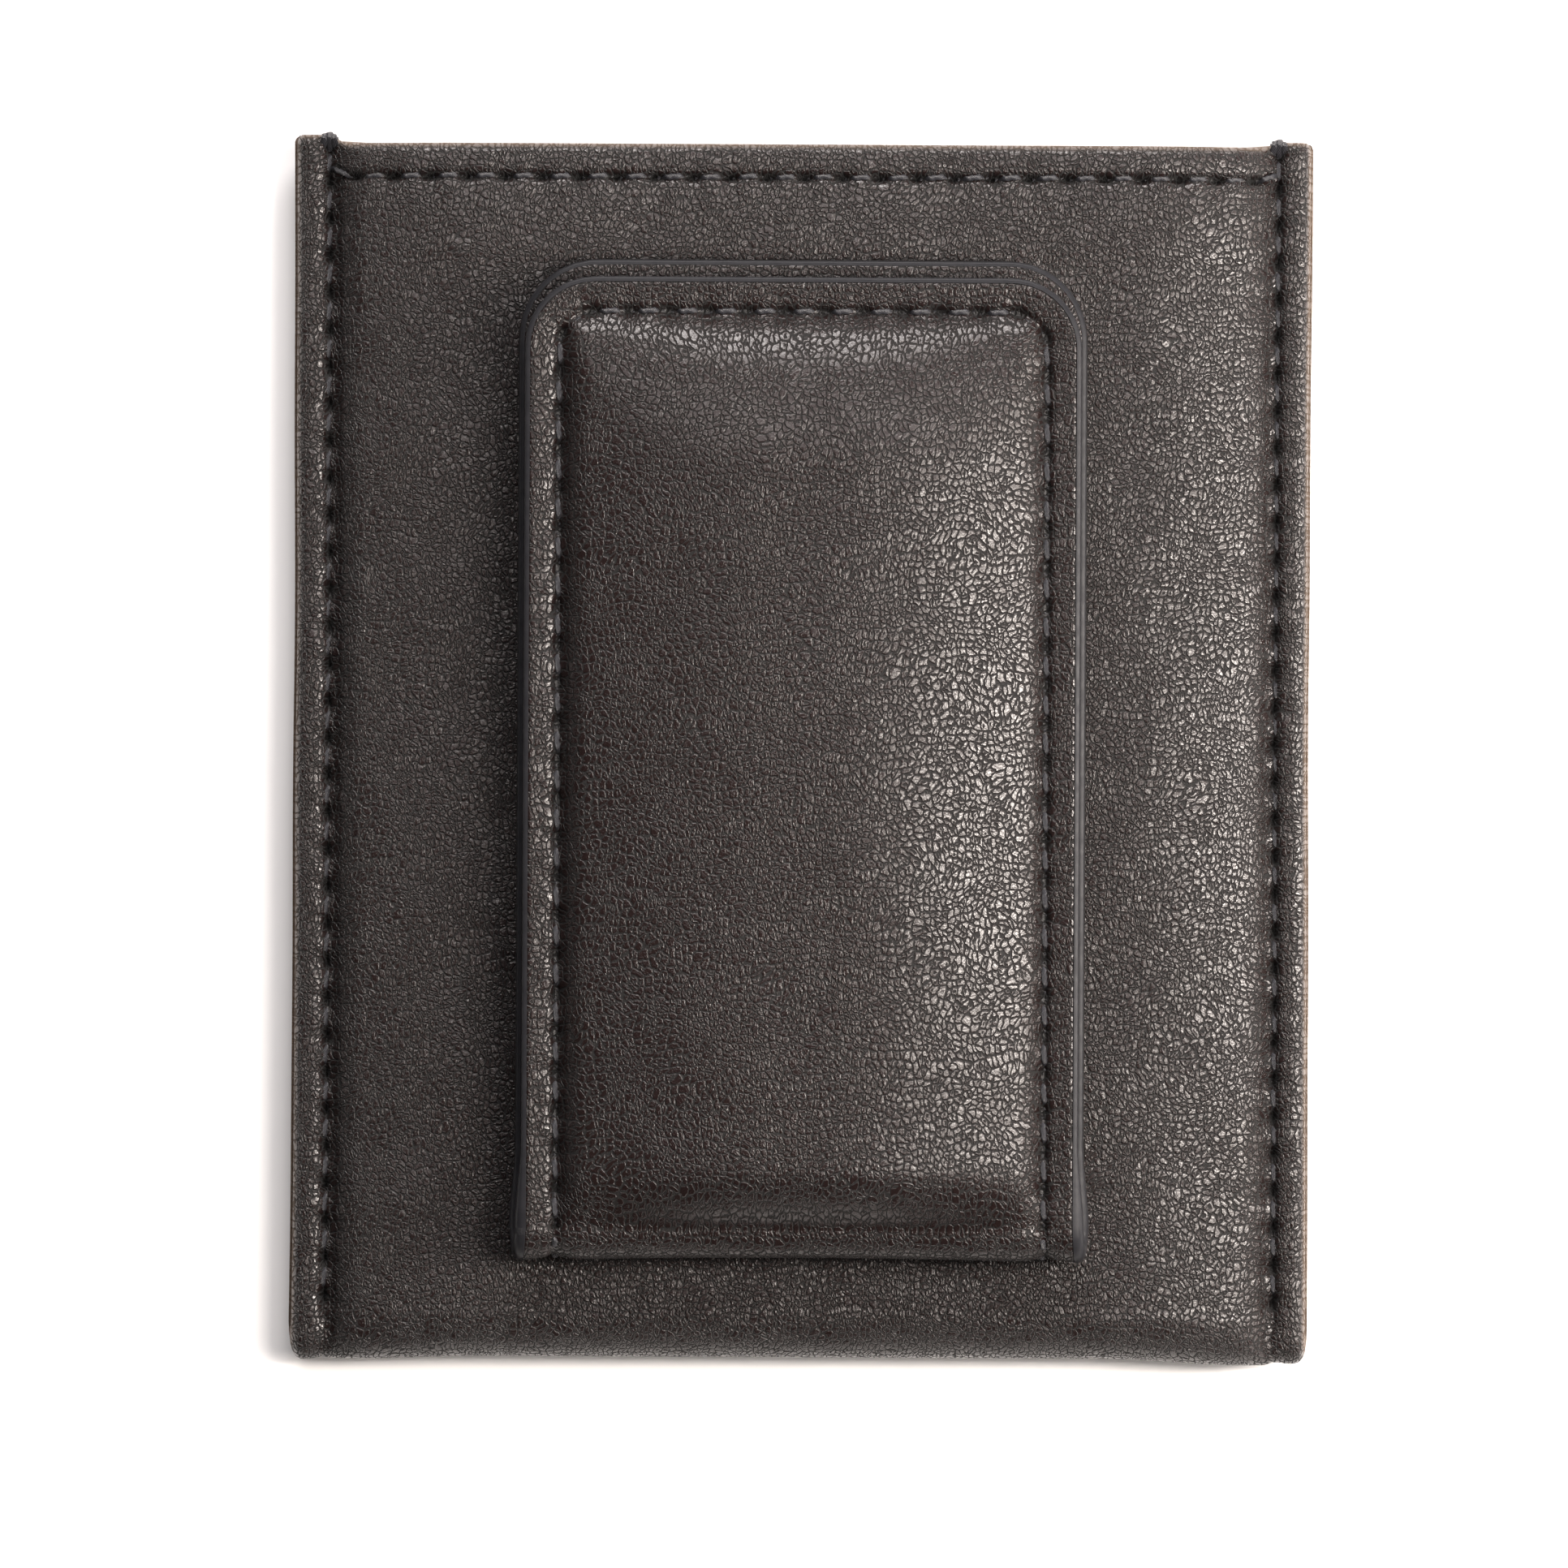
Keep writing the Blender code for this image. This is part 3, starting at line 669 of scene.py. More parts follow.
def clip_seam(plan, xy, depth=1.0):
    """The groove, needle holes and puckers of the clip's seam, as a depth below the leather."""
    across = plan.inset_of(xy) - plan.seam_inset
    along = plan.along(xy)
    groove = GROOVE_DEPTH * bell(across, GROOVE_WIDTH)
    pits = HOLE_DEPTH * holes(along, 0, plan.pitch()) * bell(across, HOLE_ACROSS)
    pucker = 0.05 * MM * between_holes(along, 0, plan.pitch()) * (
        bell(across - 0.9 * MM, 0.5 * MM) + bell(across + 0.9 * MM, 0.5 * MM))
    return depth * (groove + pits) - pucker


def margin_fall(plan, inset):
    """The margin's slope down to the seam, and back up inside it, as a depth."""
    back_up = smooth((inset - plan.seam_inset) / QUICK_WIDTH)
    return MARGIN_FALL * np.clip(inset / plan.seam_inset, 0, 1) * (1 - back_up)


def edge_round(plan, xy, radius=EDGE_R):
    return corner_cut(plan.inset_of(xy), radius)


def arch(plan, xy):
    """Distances in from the side seams and the end seam, both together, and a share rising from the root."""
    across = np.clip(CLIP_SEAM_X - 0.5 * MM - np.abs(xy[..., 0]), 0, None)
    down = np.clip(plan.top_y - plan.seam_inset - 0.5 * MM - xy[..., 1], 0, None)
    near = 1 / (1 / np.maximum(across, 1e-6) ** 3 + 1 / np.maximum(0.35 * down, 1e-6) ** 3) ** (1 / 3)
    up = np.clip((xy[..., 1] - ROOT_Y) / ROOT_RISE, 0, 1)
    return across, down, near, puff(up * up / (up + 0.1) * 1.1)


def crown(xy):
    """How far the flap's cover stands above its margin: quick beside the seam, then a long round rise."""
    across, down, near, root = arch(FLAP_PLAN, xy)
    arched = CROWN * puff(across / CROWN_WIDTH) * puff(down / CROWN_END)
    return (QUICK_RISE * puff(near / QUICK_WIDTH) + arched) * root


def flap_top(xy):
    """Height of the flap's crowned face."""
    _, _, near, root = arch(FLAP_PLAN, xy)
    uneven = 0.05 * MM * ripple(xy[..., 0], xy[..., 1], 26 * MM, 11) * smooth(near / (5 * MM)) * root
    fall = margin_fall(FLAP_PLAN, FLAP_PLAN.inset_of(xy))
    sunk = np.minimum(clip_seam(FLAP_PLAN, xy) + fall, DEEPEST)
    return FLAP_MARGIN_Z + crown(xy) + uneven - sunk - edge_round(FLAP_PLAN, xy)


def flap_under(xy):
    """Inner face of the flap's cover."""
    return FLAP_MARGIN_Z - COVER_T + crown(xy)


def fold_grid(plan, outer_r, steps, dented=False):
    """The half round from the flap's root to the base's. dented adds the outside's sag, seam and rounding."""
    x0 = plan.columns()
    inset = plan.half_w - np.abs(x0)
    groove = GROOVE_DEPTH * bell(np.abs(np.abs(x0) - CLIP_SEAM_X), GROOVE_WIDTH)
    rows, flats = [], []
    for k in range(steps + 1):
        angle = math.pi * k / steps
        widen = 1 + (BASE_HALF_W / FLAP_HALF_W - 1) * k / steps
        radius = np.full_like(x0, outer_r)
        if dented:
            sag = FOLD_SAG * math.sin(angle) ** 2 * (1 - (x0 / plan.half_w) ** 2)
            radius -= corner_cut(inset, EDGE_R) + sag + margin_fall(plan, inset) + groove
        y, z = FOLD_Y - radius * math.sin(angle), FOLD_Z + radius * math.cos(angle)
        rows.append(np.stack([x0 * widen, y, z], -1))
        flats.append(np.stack([x0, np.full_like(x0, ROOT_Y - outer_r * angle), 0 * x0], -1))
    return np.array(rows), np.array(flats)


def add_half(b, plan, height):
    """Adds one face of a half. Gives its outline's indices, and its root's from left to right."""
    rings, grid = plan.grids()
    faces = []
    for xy in (rings, grid):
        points = np.concatenate([xy, height(xy)[..., None]], -1)
        flat = np.stack([xy[..., 0], xy[..., 1], 0 * xy[..., 0]], -1)
        across = plan.inset_of(xy) - plan.seam_inset
        marks = holes(plan.along(xy), 0, plan.pitch()) * bell(across, HOLE_ACROSS)
        # Painted shade in the seam's needle holes, carried as negative rim values.
        ids = b.add(points, flat, -np.clip(HOLE_SHADE * marks, 0, 1))
        b.quads(ids)
        faces.append(ids)
    ring_ids, grid_ids = faces
    root = np.concatenate([ring_ids[:-1, 0], grid_ids[0], ring_ids[:-1, -1][::-1]])
    return ring_ids[0], root


def make_flap_cover(leather):
    """The outer leather of the flap and the fold, as one sheet that runs round the fold."""
    b = Builder()
    top_edge, top_root = add_half(b, FLAP_PLAN, flap_top)
    under_edge, under_root = add_half(b, FLAP_PLAN, flap_under)
    b.quads(np.stack([top_edge, under_edge]))
    outside, outside_flat = fold_grid(FLAP_PLAN, FOLD_R, COVER_FOLD_STEPS, dented=True)
    inside, inside_flat = fold_grid(FLAP_PLAN, FOLD_R - COVER_T, COVER_FOLD_STEPS)
    out_ids, in_ids = b.add(outside, outside_flat), b.add(inside, inside_flat)
    b.quads(out_ids)
    b.quads(in_ids)
    for row, other in ((top_root, out_ids[0]), (under_root, in_ids[0]), (out_ids[:, 0], in_ids[:, 0]),
                       (out_ids[:, -1], in_ids[:, -1]), (out_ids[-1], in_ids[-1])):
        b.quads(np.stack([row, other]))
    show_bent(b.build("clip_cover_leather", [leather]), "leather", "flap_cover", "fold_cover")


def flat_sheet(name, plan, top, under, leather, body, node):
    b = Builder()
    top_edge, top_root = add_half(b, plan, top)
    under_edge, under_root = add_half(b, plan, under)
    b.quads(np.stack([top_edge, under_edge]))
    b.quads(np.stack([top_root, under_root]))
    show(b.build(name, [leather]), body, node)


def make_linings(leather):
    """The bill faces: raised over the core on the base, flat on the flap, and a half round between them."""

    def core(xy):
        _, _, near, root = arch(BASE_PLAN, xy)
        return CORE_RISE * puff(near / CORE_SLOPE) * root

    def sunk(plan, xy):
        return clip_seam(plan, xy, BILL_SEAM_SHARE) + edge_round(plan, xy, BILL_EDGE_R)

    flat_sheet("base_bill_face", BASE_PLAN, lambda xy: BASE_MARGIN_Z + core(xy) - sunk(BASE_PLAN, xy),
               lambda xy: BASE_LINING_Z + core(xy), leather, CASE_BODY, "base_lining")
    flat_sheet("flap_bill_face", FLAP_PLAN, lambda xy: np.full(xy.shape[:-1], FLAP_HI.z),
               lambda xy: FLAP_LO.z + sunk(FLAP_PLAN, xy), leather, FLAP_BODY, "flap_lining")
    b = Builder()
    outer_r = FOLD_R - LEATHER_T - 0.1 * MM
    outside, outside_flat = fold_grid(FLAP_PLAN, outer_r, LINING_FOLD_STEPS)
    inside, inside_flat = fold_grid(FLAP_PLAN, outer_r - STRIP_LINING_T, LINING_FOLD_STEPS)
    b.slab(outside, inside, outside_flat, inside_flat)
    show_bent(b.build("fold_inner_leather", [leather]), "leather", "fold_lining")


def half_path(plan, z, up, turn):
    """The edge of one half: (middle of the edge, outward, towards the cover, how far it bulges)."""
    ring = plan.ring(0)[::turn]
    step = np.diff(ring, axis=0)
    tangent = np.concatenate([step[:1], (step[1:] + step[:-1]) / 2, step[-1:]])
    tangent /= np.linalg.norm(tangent, axis=1)[:, None]
    for k in range(0, len(ring), 2):
        (x, y), (tx, ty) = ring[k], tangent[k]
        yield (x, y, z), (-ty * turn, tx * turn, 0), (0, 0, up), smooth(1 - (y - ROOT_Y) / (7 * MM))


def fold_path(sign, start, end):
    """The edge of the fold on one side, told the same way."""
    middle = FOLD_R - CLIP_T / 2
    for k in range(1, 20):
        angle = start + (end - start) * k / 20
        half_w = FLAP_PLAN.half_w * (1 + (BASE_HALF_W / FLAP_HALF_W - 1) * angle / math.pi)
        y, z = -math.sin(angle), math.cos(angle)
        yield (sign * half_w, FOLD_Y + middle * y, FOLD_Z + middle * z), (sign, 0, 0), (0, y, z), 1.0


def make_edge_paint(paint):
    """The smooth painted bead round the strip's cut edges."""
    path = [*half_path(FLAP_PLAN, FLAP_MARGIN_Z - CLIP_T / 2, 1, 1), *fold_path(1, 0, math.pi),
            *half_path(BASE_PLAN, BASE_MARGIN_Z - CLIP_T / 2, -1, -1), *fold_path(-1, math.pi, 0)]
    count = 14
    rows, flats = [], []
    run = 0.0
    for k, (centre, outward, up, soft) in enumerate(path):
        centre, outward, up = (np.array(v, float) for v in (centre, outward, up))
        run += np.linalg.norm(centre - np.array(path[k - 1][0])) if k else 0.0
        section, flat = [], []
        for j in range(count):
            angle = math.pi * j / (count - 1) - math.pi / 2
            out = PAINT_W * (1 + FOLD_BULGE * soft) * abs(math.cos(angle)) ** (0.45 + 0.45 * soft)
            level = abs(math.sin(angle)) ** (0.55 + 0.35 * soft)
            rise = PAINT_SHARE * CLIP_T / 2 * math.copysign(level, math.sin(angle))
            section.append(centre + outward * (out - 0.06 * MM) + up * rise)
            flat.append((run, rise, 0))
        for rise in (0.3 * CLIP_T, -0.3 * CLIP_T):
            section.append(centre - outward * 0.25 * MM + up * rise)
            flat.append((run, rise, 0))
        rows.append(section)
        flats.append(flat)
    b = Builder()
    ids = b.add(np.array(rows), np.array(flats))
    loop = np.concatenate([ids, ids[:1]])
    b.quads(np.concatenate([loop, loop[:, :1]], axis=1))
    show_bent(b.build("clip_edge_paint", [paint], sharp=60), "leather")


# Threads.


def add_stitch(b, start, end, normal, side_dir, sunk=0.12, lean=0.15, radius=THREAD_R, bow=0.0):
    """One stitch: it rises out of a hole, lies in the groove at a lean, and dives into the next hole."""
    start, end, normal, side_dir = (np.array(v, float) for v in (start, end, normal, side_dir))
    steps, around = 15, 12
    rings = []
    length = np.linalg.norm(end - start)
    forward = (end - start) / length
    for k in range(steps + 1):
        t = k / steps
        ends = abs(2 * t - 1)
        dive = float(smooth((ends - 0.32) / 0.62))
        lift = -sunk * MM - STITCH_DIVE * dive + bow * (1 - ends**2)
        offset = lean * MM * (2 * t - 1)
        centre = start + forward * length * (0.09 + 0.82 * t) + normal * lift + side_dir * offset
        taper = radius * (1 - 0.35 * ends**6)
        ring = []
        for j in range(around):
            angle = 2 * math.pi * j / around
            ply = 1 + 0.13 * math.cos(2 * angle - 9 * math.pi * t)
            spoke = side_dir * 1.08 * math.cos(angle) + normal * 0.92 * math.sin(angle)
            ring.append(centre + taper * ply * spoke)
        rings.append(ring)
    rings = np.array(rings)
    run = np.linspace(0, length, steps + 1)[:, None] * np.ones(around)
    turn = np.ones((steps + 1, 1)) * np.linspace(0, 2 * math.pi * radius, around)
    ids = b.add(rings, np.stack([run, turn, 0 * run], -1))
    b.quads(np.concatenate([ids, ids[:, :1]], axis=1))
    b.faces += [ids[0].tolist(), ids[-1].tolist()]
    b.slots += [0, 0]


def side_seam(name, sign, is_front, thread, node):
    """A row of stitches down a wing, with a knot of turns over its top edge."""
    b = Builder()
    x = sign * (HALF_W - SEAM_INSET)
    z = WING_TOP_Z if is_front else WING_LOW_Z
    out = 1.0 if is_front else -1.0
    top = float(mouth_y(np.array(x)))
    number = int((top - FIRST_HOLE - SEAM_BOTTOM_Y) / SIDE_PITCH)
    rng = np.random.default_rng(21 + int(sign) + int(out) * 2)
    for k in range(number):
        y = top - FIRST_HOLE - k * SIDE_PITCH
        wander = rng.uniform(-0.05, 0.05, 2) * MM
        start, end = (x + wander[0], y, z), (x + wander[1], y - SIDE_PITCH, z)
        add_stitch(b, start, end, (0, 0, out), (1, 0, 0), sunk=0.20, lean=0.11 * sign)
    for k, (dx, reach) in enumerate(((-0.45, 0.85), (0.02, 1.0), (0.42, 0.75))):
        low = (x + dx * MM, top - FIRST_HOLE - 0.35 * MM, z + out * 0.2 * MM)
        high = (x + dx * MM * 0.7, top + (reach - 0.45) * MM, z - out * 0.75 * MM)
        add_stitch(b, low, high, (0, 0.45, out * 0.89), (1, 0, 0), sunk=-0.16, lean=0.1 - 0.1 * k,
                   radius=KNOT_R, bow=0.42 * MM)
    show(b.build(name, [thread]), CASE_BODY, node)


def hem_seam(name, is_front, inside, thread, node):
    """A row of stitches along the mouth, ending in turns over the wings' edges on the outside."""
    b = Builder()
    out = 1.0 if is_front else -1.0
    number = int((HALF_W - (9 * MM if inside else 3.4 * MM)) / HEM_PITCH)
    rng = np.random.default_rng(31 + int(out) + 4 * int(inside))

    def at(x):
        y = float(mouth_y(np.array(x))) - HEM_INSET
        z = float(front_z(np.array(x), np.array(HEM_INSET))) if is_front else float(back_z(np.array(x)))
        return y, z - out * (HEM_T if inside else 0)

    face = -out if inside else out
    for k in range(-number, number):
        x0, x1 = k * HEM_PITCH, (k + 1) * HEM_PITCH
        (y0, z0), (y1, z1) = at(x0), at(x1)
        wander = rng.uniform(-0.04, 0.04, 2) * MM
        sunk = 0.02 if inside else 0.12 if is_front else 0.26
        add_stitch(b, (x0, y0 + wander[0], z0), (x1, y1 + wander[1], z1), (0, 0, face), (0, 1, 0), sunk=sunk)
    if not inside:
        for sign in (-1, 1):
            inner_x, outer_x = sign * number * HEM_PITCH, sign * (HALF_W - 2.4 * MM)
            (y0, z0), (y1, z1) = at(inner_x), at(outer_x)
            add_stitch(b, (inner_x, y0, z0), (outer_x, y1, z1 + out * 0.1 * MM), (0, 0, face), (0, 1, 0))
            edge = (sign * (HALF_W + 0.02 * MM), y1 + 0.02 * MM, z1 - out * 0.45 * MM)
            start = (sign * (HALF_W - 2.3 * MM), y1, z1 + out * 0.15 * MM)
            over = (sign * 0.3, 0, face * 0.95)
            add_stitch(b, start, edge, over, (0, 1, 0), sunk=0.0, lean=0.05, bow=0.22 * MM)
    show(b.build(name, [thread]), CASE_BODY, node)


def clip_seam_row(name, plan, z, out, thread, body, node, sunk=0.12):
    b = Builder()
    pitch = plan.pitch()
    for k in range(round(plan.length() / pitch)):
        (x0, y0), (tx, ty) = plan.seam(k * pitch + 1e-7)
        (x1, y1), _ = plan.seam((k + 1) * pitch - 1e-7)
        add_stitch(b, (x0, y0, z), (x1, y1, z), (0, 0, out), (-ty, tx, 0), sunk=sunk, lean=0.13)
    show(b.build(name, [thread]), body, node)


def fold_stitches(thread):
    """The seam's stitches round the fold."""
    b = Builder()
    number = 3
    reach = FOLD_R - MARGIN_FALL - 0.08 * MM
    for sign in (-1, 1):
        for k in range(number):
            ends = []
            for angle in (math.pi * k / number, math.pi * (k + 1) / number):
                y, z = FOLD_Y - reach * math.sin(angle), FOLD_Z + reach * math.cos(angle)
                ends.append((sign * CLIP_SEAM_X, y, z))
            middle = math.pi * (k + 0.5) / number
            normal = (0, -math.sin(middle), math.cos(middle))
            bow = FOLD_R * (1 - math.cos(math.pi / number / 2))
            add_stitch(b, *ends, normal, (sign, 0, 0), sunk=0.1, lean=0.1, bow=bow)
    show_bent(b.build("fold_seam_stitches", [thread]), "thread")


def make_threads(thread):
    walls = (("front", True), ("back", False))
    for side, sign in (("left", -1), ("right", 1)):
        for wall, is_front in walls:
            name, node = f"{side}_{wall}_seam_stitches", f"{side}_seam_thread_{wall}"
            side_seam(name, sign, is_front, thread, node)
    for wall, is_front in walls:
        for face, inside in (("outside", False), ("inside", True)):
            name, node = f"{wall}_hem_stitches_{face}", f"{wall}_hem_thread_{face}"
            hem_seam(name, is_front, inside, thread, node)
    flap, base = (thread, FLAP_BODY), (thread, CASE_BODY)
    cover_z = FLAP_MARGIN_Z - MARGIN_FALL
    clip_seam_row("flap_outer_stitches", FLAP_PLAN, cover_z, 1, *flap, "flap_thread_outer")
    clip_seam_row("flap_bill_stitches", FLAP_PLAN, FLAP_LO.z, -1, *flap, "flap_thread_bill_face", 0.16)
    clip_seam_row("base_bill_stitches", BASE_PLAN, BASE_MARGIN_Z, 1, *base, "base_thread_bill_face", 0.16)
    fold_stitches(thread)


def make_pad(foam):
    """The thin foam pad under the flap's cover, with soft edges."""
    lo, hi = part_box("flap_foam_pad")
    x = np.linspace(lo.x, hi.x, 41)
    y = np.linspace(lo.y, hi.y, 71)
    X, Y = np.meshgrid(x, y)
    edge = np.minimum(np.minimum(X - lo.x, hi.x - X), np.minimum(Y - lo.y, hi.y - Y))
    rise = (hi.z - lo.z) * (0.25 + 0.75 * puff(edge / (6 * MM)))
    top = np.stack([X, Y, lo.z + rise], -1)
    under = np.stack([X, Y, np.full_like(X, lo.z)], -1)
    b = Builder()
    b.slab(top, under)
    pad = show(b.build("flap_pad", [foam]), FLAP_BODY, "flap_foam_pad")


# Materials.


class Nodes:
    """Short calls for building one material's node tree."""

    def __init__(self, name):
        self.material = bpy.data.materials.new(name)
        self.material.use_nodes = True
        self.tree = self.material.node_tree
        self.shader = self.tree.nodes["Principled BSDF"]

    def feed(self, node, inputs):
        """Links the inputs that are given a socket, and sets the others."""
        for key, value in inputs.items():
            if isinstance(value, bpy.types.NodeSocket):
                self.tree.links.new(value, node.inputs[key])
            else:
                node.inputs[key].default_value = value

    def new(self, kind, inputs, **settings):
        """A new node's outputs. Its settings come first, as they decide which inputs it has."""
        node = self.tree.nodes.new(kind)
        for key, value in settings.items():
            setattr(node, key, value)
        self.feed(node, inputs)
        return node.outputs

    def attribute(self, name, output="Vector"):
        return self.new("ShaderNodeAttribute", {}, attribute_name=name)[output]

    def math(self, operation, a, b=0.0, clamp=False):
        return self.new("ShaderNodeMath", {0: a, 1: b}, operation=operation, use_clamp=clamp)[0]

    def plus(self, a, b):
        return self.math("ADD", a, b)

    def times(self, a, b):
        return self.math("MULTIPLY", a, b)

    def vector(self, operation, a, b):
        outputs = self.new("ShaderNodeVectorMath", {0: a, 1: b}, operation=operation)
        return outputs["Value" if operation == "DOT_PRODUCT" else "Vector"]

    def noise(self, vector, cell, detail=2.0, roughness=0.5, output=0, dimensions="2D"):
        inputs = {"Vector": vector, "Scale": 1 / cell, "Detail": detail, "Roughness": roughness}
        return self.new("ShaderNodeTexNoise", inputs, noise_dimensions=dimensions)[output]

    def cells(self, vector, feature="F1", output="Distance"):
        inputs = {"Vector": vector, "Scale": 1.0, "Randomness": 0.9}
        return self.new("ShaderNodeTexVoronoi", inputs, voronoi_dimensions="2D", feature=feature)[output]

    def ramp(self, value, low, high, to_low=0.0, to_high=1.0):
        inputs = {"Value": value, "From Min": low, "From Max": high, "To Min": to_low, "To Max": to_high}
        return self.new("ShaderNodeMapRange", inputs, interpolation_type="SMOOTHSTEP")[0]

    def mix(self, share, a, b):
        a, b = (v if isinstance(v, bpy.types.NodeSocket) else (*v, 1.0) for v in (a, b))
        return self.new("ShaderNodeMix", {"Factor": share, "A": a, "B": b}, data_type="RGBA")["Result"]

    def bump(self, height, distance):
        outputs = self.new("ShaderNodeBump", {"Height": height, "Distance": distance, "Strength": 1.0})
        self.feed(self.shader, {"Normal": outputs["Normal"]})

    def set(self, **values):
        self.feed(self.shader, {key.replace("_", " "): value for key, value in values.items()})
        return self.material


def leather_material(name, cell=0.45 * MM, depth=0.098 * MM, roughness=0.23, level=0.5):
    """Black-brown leather with a grain of small flat plates, fine creases between and pores in some, with
    painted shade darkening the creases, the pores and the needle holes.
    """
    n = Nodes(name)
    flat = n.attribute("flat")
    drift = n.vector("SUBTRACT", n.noise(flat, 7 * MM, output=1), (0.5, 0.5, 0.5))
    jitter = n.vector("SUBTRACT", n.noise(flat, 0.55 * MM, output=1), (0.5, 0.5, 0.5))
    moved = n.vector("ADD", flat, n.vector("MULTIPLY", drift, (2.6 * MM, 2.6 * MM, 0)))
    moved = n.vector("ADD", moved, n.vector("MULTIPLY", jitter, (0.42 * MM, 0.42 * MM, 0)))
    grid = n.vector("MULTIPLY", moved, (1 / cell, 0.78 / cell, 0))
    crease = n.cells(grid, "DISTANCE_TO_EDGE")
    plate = n.ramp(crease, 0.03, 0.20)
    centre = n.cells(grid, "F1")
    chance = n.cells(grid, "F1", "Color")
    pored = n.ramp(chance, 0.52, 0.56)
    inside = n.vector("SUBTRACT", grid, n.cells(grid, "F1", "Position"))
    tilt = n.vector("DOT_PRODUCT", inside, n.vector("SUBTRACT", chance, (0.5, 0.5, 0.5)))
    pore = n.times(n.ramp(centre, 0.10, 0.24, 1.0, 0.0), pored)
    dome = n.ramp(centre, 0.0, 0.8, 1.0, 0.0)
    fine_grid = n.vector("MULTIPLY", moved, (2.7 / cell, 2.3 / cell, 0))
    fine = n.ramp(n.cells(fine_grid, "DISTANCE_TO_EDGE"), 0.0, 0.2)
    patches = n.ramp(n.noise(flat, 4 * MM, 3.0), 0.3, 0.7)
    height = n.times(plate, n.ramp(patches, 0.0, 1.0, 0.75, 0.95))
    height = n.plus(height, n.times(dome, 0.15))
    height = n.plus(height, n.times(n.times(tilt, plate), PLATE_TILT))
    height = n.plus(height, n.times(fine, 0.12))
    height = n.math("SUBTRACT", height, n.times(pore, 0.5))
    marks = n.attribute("rim", "Fac")
    rim = n.math("MAXIMUM", marks, 0.0)
    # The rim attribute's negative values carry the painted shade of the needle holes.
    painted_hole_shade = n.math("MULTIPLY", marks, -1.0, clamp=True)
    height = n.times(height, n.math("SUBTRACT", 1.0, n.times(rim, 0.8)))
    top = n.math("SUBTRACT", plate, pore, clamp=True)
    # Painted shade: the creases and pores get a far darker colour than the plates, standing in for the shade
    # that falls in them.
    tone = n.mix(top, (0.0012, 0.0007, 0.0006), (0.0108, 0.0064, 0.0062))
    warm = n.ramp(n.noise(flat, 9 * MM, 2.0), 0.35, 0.7, 0.0, 0.3)
    tone = n.mix(n.times(warm, top), tone, (0.0104, 0.0058, 0.0050))
    tone = n.mix(n.times(rim, 0.85), tone, (0.105, 0.072, 0.050))
    rough = n.plus(n.times(n.noise(flat, 0.7 * MM, 2.0), 0.14), roughness - 0.07)
    rough = n.plus(rough, n.ramp(top, 0.0, 1.0, 0.65, 0.0))
    # Painted shade: the needle holes are coloured near black.
    tone = n.mix(painted_hole_shade, tone, (0.0005, 0.0004, 0.0004))
    rough = n.plus(rough, n.times(n.plus(rim, painted_hole_shade), 0.3))
    n.bump(height, depth)
    return n.set(Base_Color=tone, Roughness=rough, Specular_IOR_Level=level)


def edge_material():
    """The leather's cut and turned edges: brown and fibrous."""
    n = Nodes("leather_cut_edge")
    flat = n.attribute("flat")
    fibres = n.noise(n.vector("MULTIPLY", flat, (1, 1, 3)), 0.25 * MM, 3.0)
    tone = n.mix(fibres, (0.055, 0.038, 0.027), (0.14, 0.10, 0.072))
    n.bump(fibres, 0.05 * MM)
    return n.set(Base_Color=tone, Roughness=0.75)


def paint_material():
    """Edge paint: blue-black, smooth and a little uneven."""
    n = Nodes("edge_paint")
    flat = n.attribute("flat")
    waves = n.noise(n.vector("MULTIPLY", flat, (1, 3, 1)), 1.4 * MM, 2.0)
    tone = n.mix(waves, (0.0120, 0.0120, 0.0138), (0.0185, 0.0185, 0.0208))
    rough = n.ramp(waves, 0.3, 0.7, 0.30, 0.42)
    n.bump(waves, 0.03 * MM)
    return n.set(Base_Color=tone, Roughness=rough, Specular_IOR_Level=0.11)


def thread_material():
    """Waxed black polyester thread, with its twist across it and painted shade between the strands."""
    n = Nodes("waxed_thread")
    x, y, _ = n.new("ShaderNodeSeparateXYZ", {0: n.attribute("flat")})
    strands = n.math("SINE", n.times(n.plus(x, y), 2 * math.pi / (0.16 * MM)))
    # Painted shade: darker in the grooves between the strands, lighter on their crests.
    tone = n.mix(n.ramp(strands, -1, 1), (0.010, 0.010, 0.012), (0.036, 0.036, 0.042))
    n.bump(strands, 0.02 * MM)
    return n.set(Base_Color=tone, Roughness=0.42)


def lining_material():
    """Black twill, with painted shade in the grooves between its ribs."""
    n = Nodes("lining_twill")
    x, y, _ = n.new("ShaderNodeSeparateXYZ", {0: n.attribute("flat")})
    turn = 2 * math.pi / (0.42 * MM)
    rib = n.math("SINE", n.times(n.plus(x, y), turn))
    yarn = n.math("SINE", n.times(n.math("SUBTRACT", x, y), turn * 1.7))
    height = n.plus(rib, n.times(yarn, 0.4))
    # Painted shade: darker in the grooves, lighter on the ribs.
    tone = n.mix(n.ramp(height, -1.2, 1.2), (0.006, 0.006, 0.007), (0.030, 0.029, 0.030))
    n.bump(height, 0.03 * MM)
    return n.set(Base_Color=tone, Roughness=0.72)


def plain_material(name, dark, light, roughness, grain, metallic=0.0, stretch=(1, 1, 1)):
    """A board, foam or plated surface with its own fine grain."""
    n = Nodes(name)
    place = n.new("ShaderNodeTexCoord", {})["Object"]
    grains = n.noise(n.vector("MULTIPLY", place, stretch), grain, 4.0, 0.6, dimensions="3D")
    n.bump(grains, grain * 0.15)
    return n.set(Base_Color=n.mix(grains, dark, light), Roughness=roughness, Metallic=metallic)


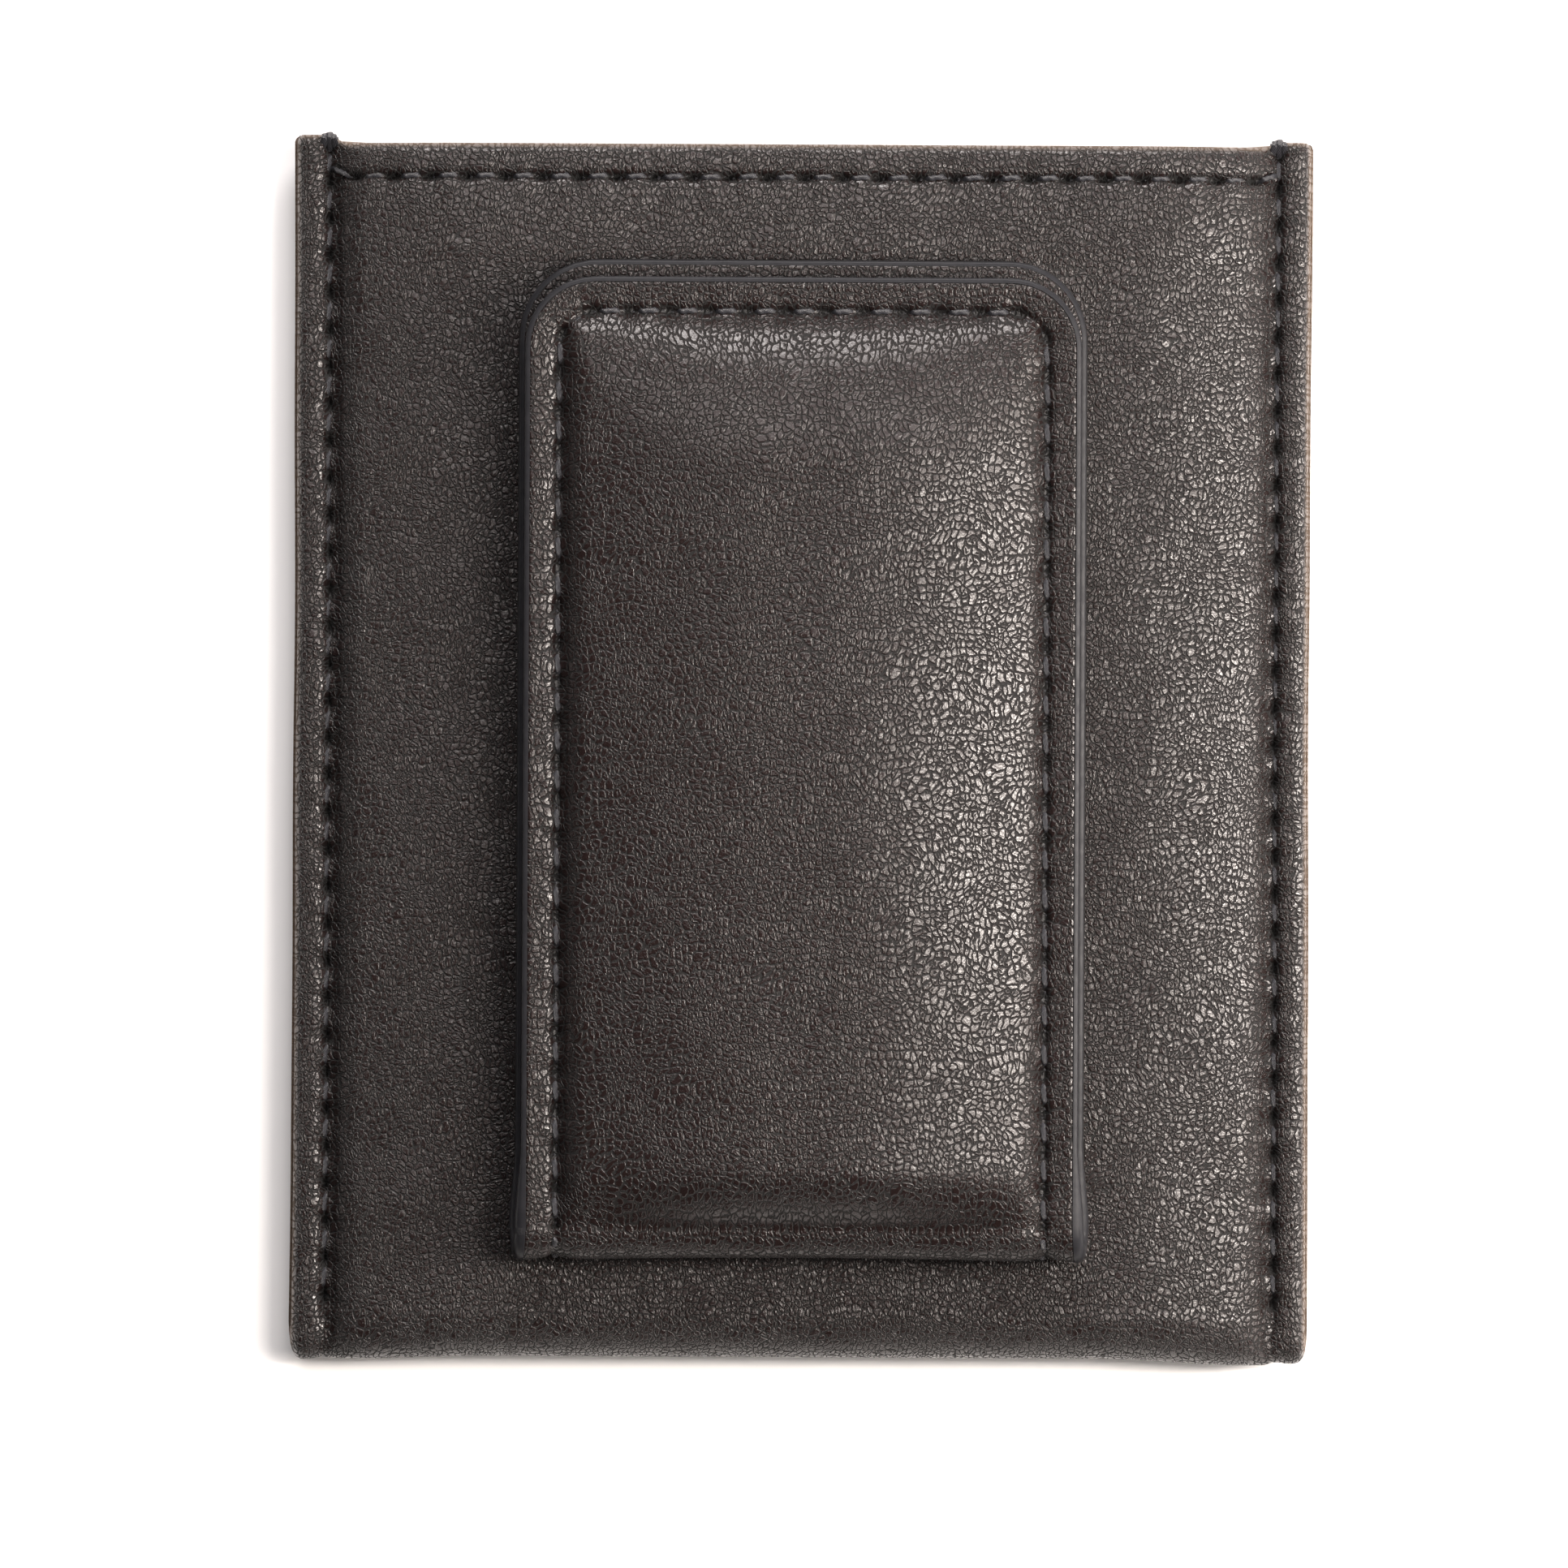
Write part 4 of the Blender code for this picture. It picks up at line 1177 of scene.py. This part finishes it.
def paint_cad_nodes(leather, board, magnet):
    """Gives the CAD nodes that stay their finished materials."""
    for node in ("front_board", "back_board", "base_core_board", "flap_core_board"):
        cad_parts[node].data.materials[0] = board
    for node in ("base_magnet_left", "base_magnet_right", "flap_magnet_left", "flap_magnet_right"):
        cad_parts[node].data.materials[0] = magnet
    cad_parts["base_cover"].data.materials[0] = leather
    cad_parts["base_thread_outer"].data.materials[0] = leather


# The stage.


def make_floor():
    size = 1.5
    b = Builder()
    corner = np.array([[[-size, -size, 0], [size, -size, 0]], [[-size, size, 0], [size, size, 0]]])
    b.quads(b.add(corner - np.array([0, 0, 0.00005])))
    n = Nodes("pale_floor")
    floor = b.build("floor", [n.set(Base_Color=(0.92, 0.92, 0.925, 1.0), Roughness=0.6)])


def make_light(name, place, power, size, colour):
    light = bpy.data.lights.new(name, "AREA")
    light.shape = "RECTANGLE"
    light.size, light.size_y = size
    light.energy = power
    light.color = colour
    obj = bpy.data.objects.new(name, light)
    obj.location = place
    obj.rotation_euler = (-Vector(place)).to_track_quat("-Z", "Y").to_euler()
    bpy.context.scene.collection.objects.link(obj)


def make_room(brightness, ceiling):
    """A pale room with a dark ceiling, so that flat faces stay dark and their edges catch the light."""
    world = bpy.data.worlds.new("pale_room")
    world.use_nodes = True
    tree = world.node_tree
    place = tree.nodes.new("ShaderNodeTexCoord")
    split = tree.nodes.new("ShaderNodeSeparateXYZ")
    fade = tree.nodes.new("ShaderNodeMapRange")
    fade.interpolation_type = "SMOOTHSTEP"
    for key, value in (("From Min", 0.2), ("From Max", 0.95), ("To Min", brightness), ("To Max", ceiling)):
        fade.inputs[key].default_value = value
    tree.links.new(place.outputs["Generated"], split.inputs[0])
    tree.links.new(split.outputs["Z"], fade.inputs["Value"])
    tree.links.new(fade.outputs[0], tree.nodes["Background"].inputs["Strength"])
    tree.nodes["Background"].inputs["Color"].default_value = (1, 1, 1, 1)
    bpy.context.scene.world = world


def make_stage():
    """A camera straight above, two soft lights at the right, two beyond the mouth, and a pale room."""
    make_floor()
    make_light("key_from_right", (0.236, 0.0, 0.185), 2.2, (0.05, 0.45), (1.0, 0.925, 0.86))
    make_light("side_from_right", (0.335, 0.0, 0.372), 2.75, (0.20, 0.36), (1.0, 0.915, 0.85))
    make_light("rake_from_top", (0.0, 0.433, 0.25), 3.8, (0.36, 0.20), (1.0, 0.95, 0.93))
    make_light("fill_from_top", (0.0, 0.154, 0.423), 0.68, (0.36, 0.12), (1.0, 0.94, 0.93))
    make_room(0.04, 0.03)
    bpy.context.scene.view_settings.view_transform = "Standard"

    view_width = 0.1278
    height = 0.9
    camera = bpy.data.cameras.new("camera")
    camera.sensor_width = 36
    camera.lens = 36 * height / view_width
    obj = bpy.data.objects.new("camera", camera)
    obj.location = (-1.39 * MM, -2.87 * MM, height + 6 * MM)
    obj.rotation_euler = (0, 0, math.radians(0.3))
    bpy.context.scene.collection.objects.link(obj)
    bpy.context.scene.camera = obj


make_stage()
leather = leather_material("case_leather")
clip_leather = leather_material("clip_leather", 0.50 * MM, 0.062 * MM, 0.20, 0.42)
edge = edge_material()
thread = thread_material()
make_case(leather, edge)
make_lining(lining_material())
make_flap_cover(clip_leather)
make_linings(clip_leather)
make_edge_paint(paint_material())
make_threads(thread)
make_pad(plain_material("pad_foam", (0.04, 0.04, 0.042), (0.11, 0.11, 0.115), 0.9, 0.4 * MM))
board = plain_material("fibre_board", (0.20, 0.155, 0.11), (0.30, 0.245, 0.185), 0.85, 0.5 * MM)
magnet = plain_material("nickel_plate", (0.55, 0.54, 0.52), (0.66, 0.65, 0.63), 0.28, 0.3 * MM,
                        metallic=1.0, stretch=(1, 12, 1))
paint_cad_nodes(clip_leather, board, magnet)
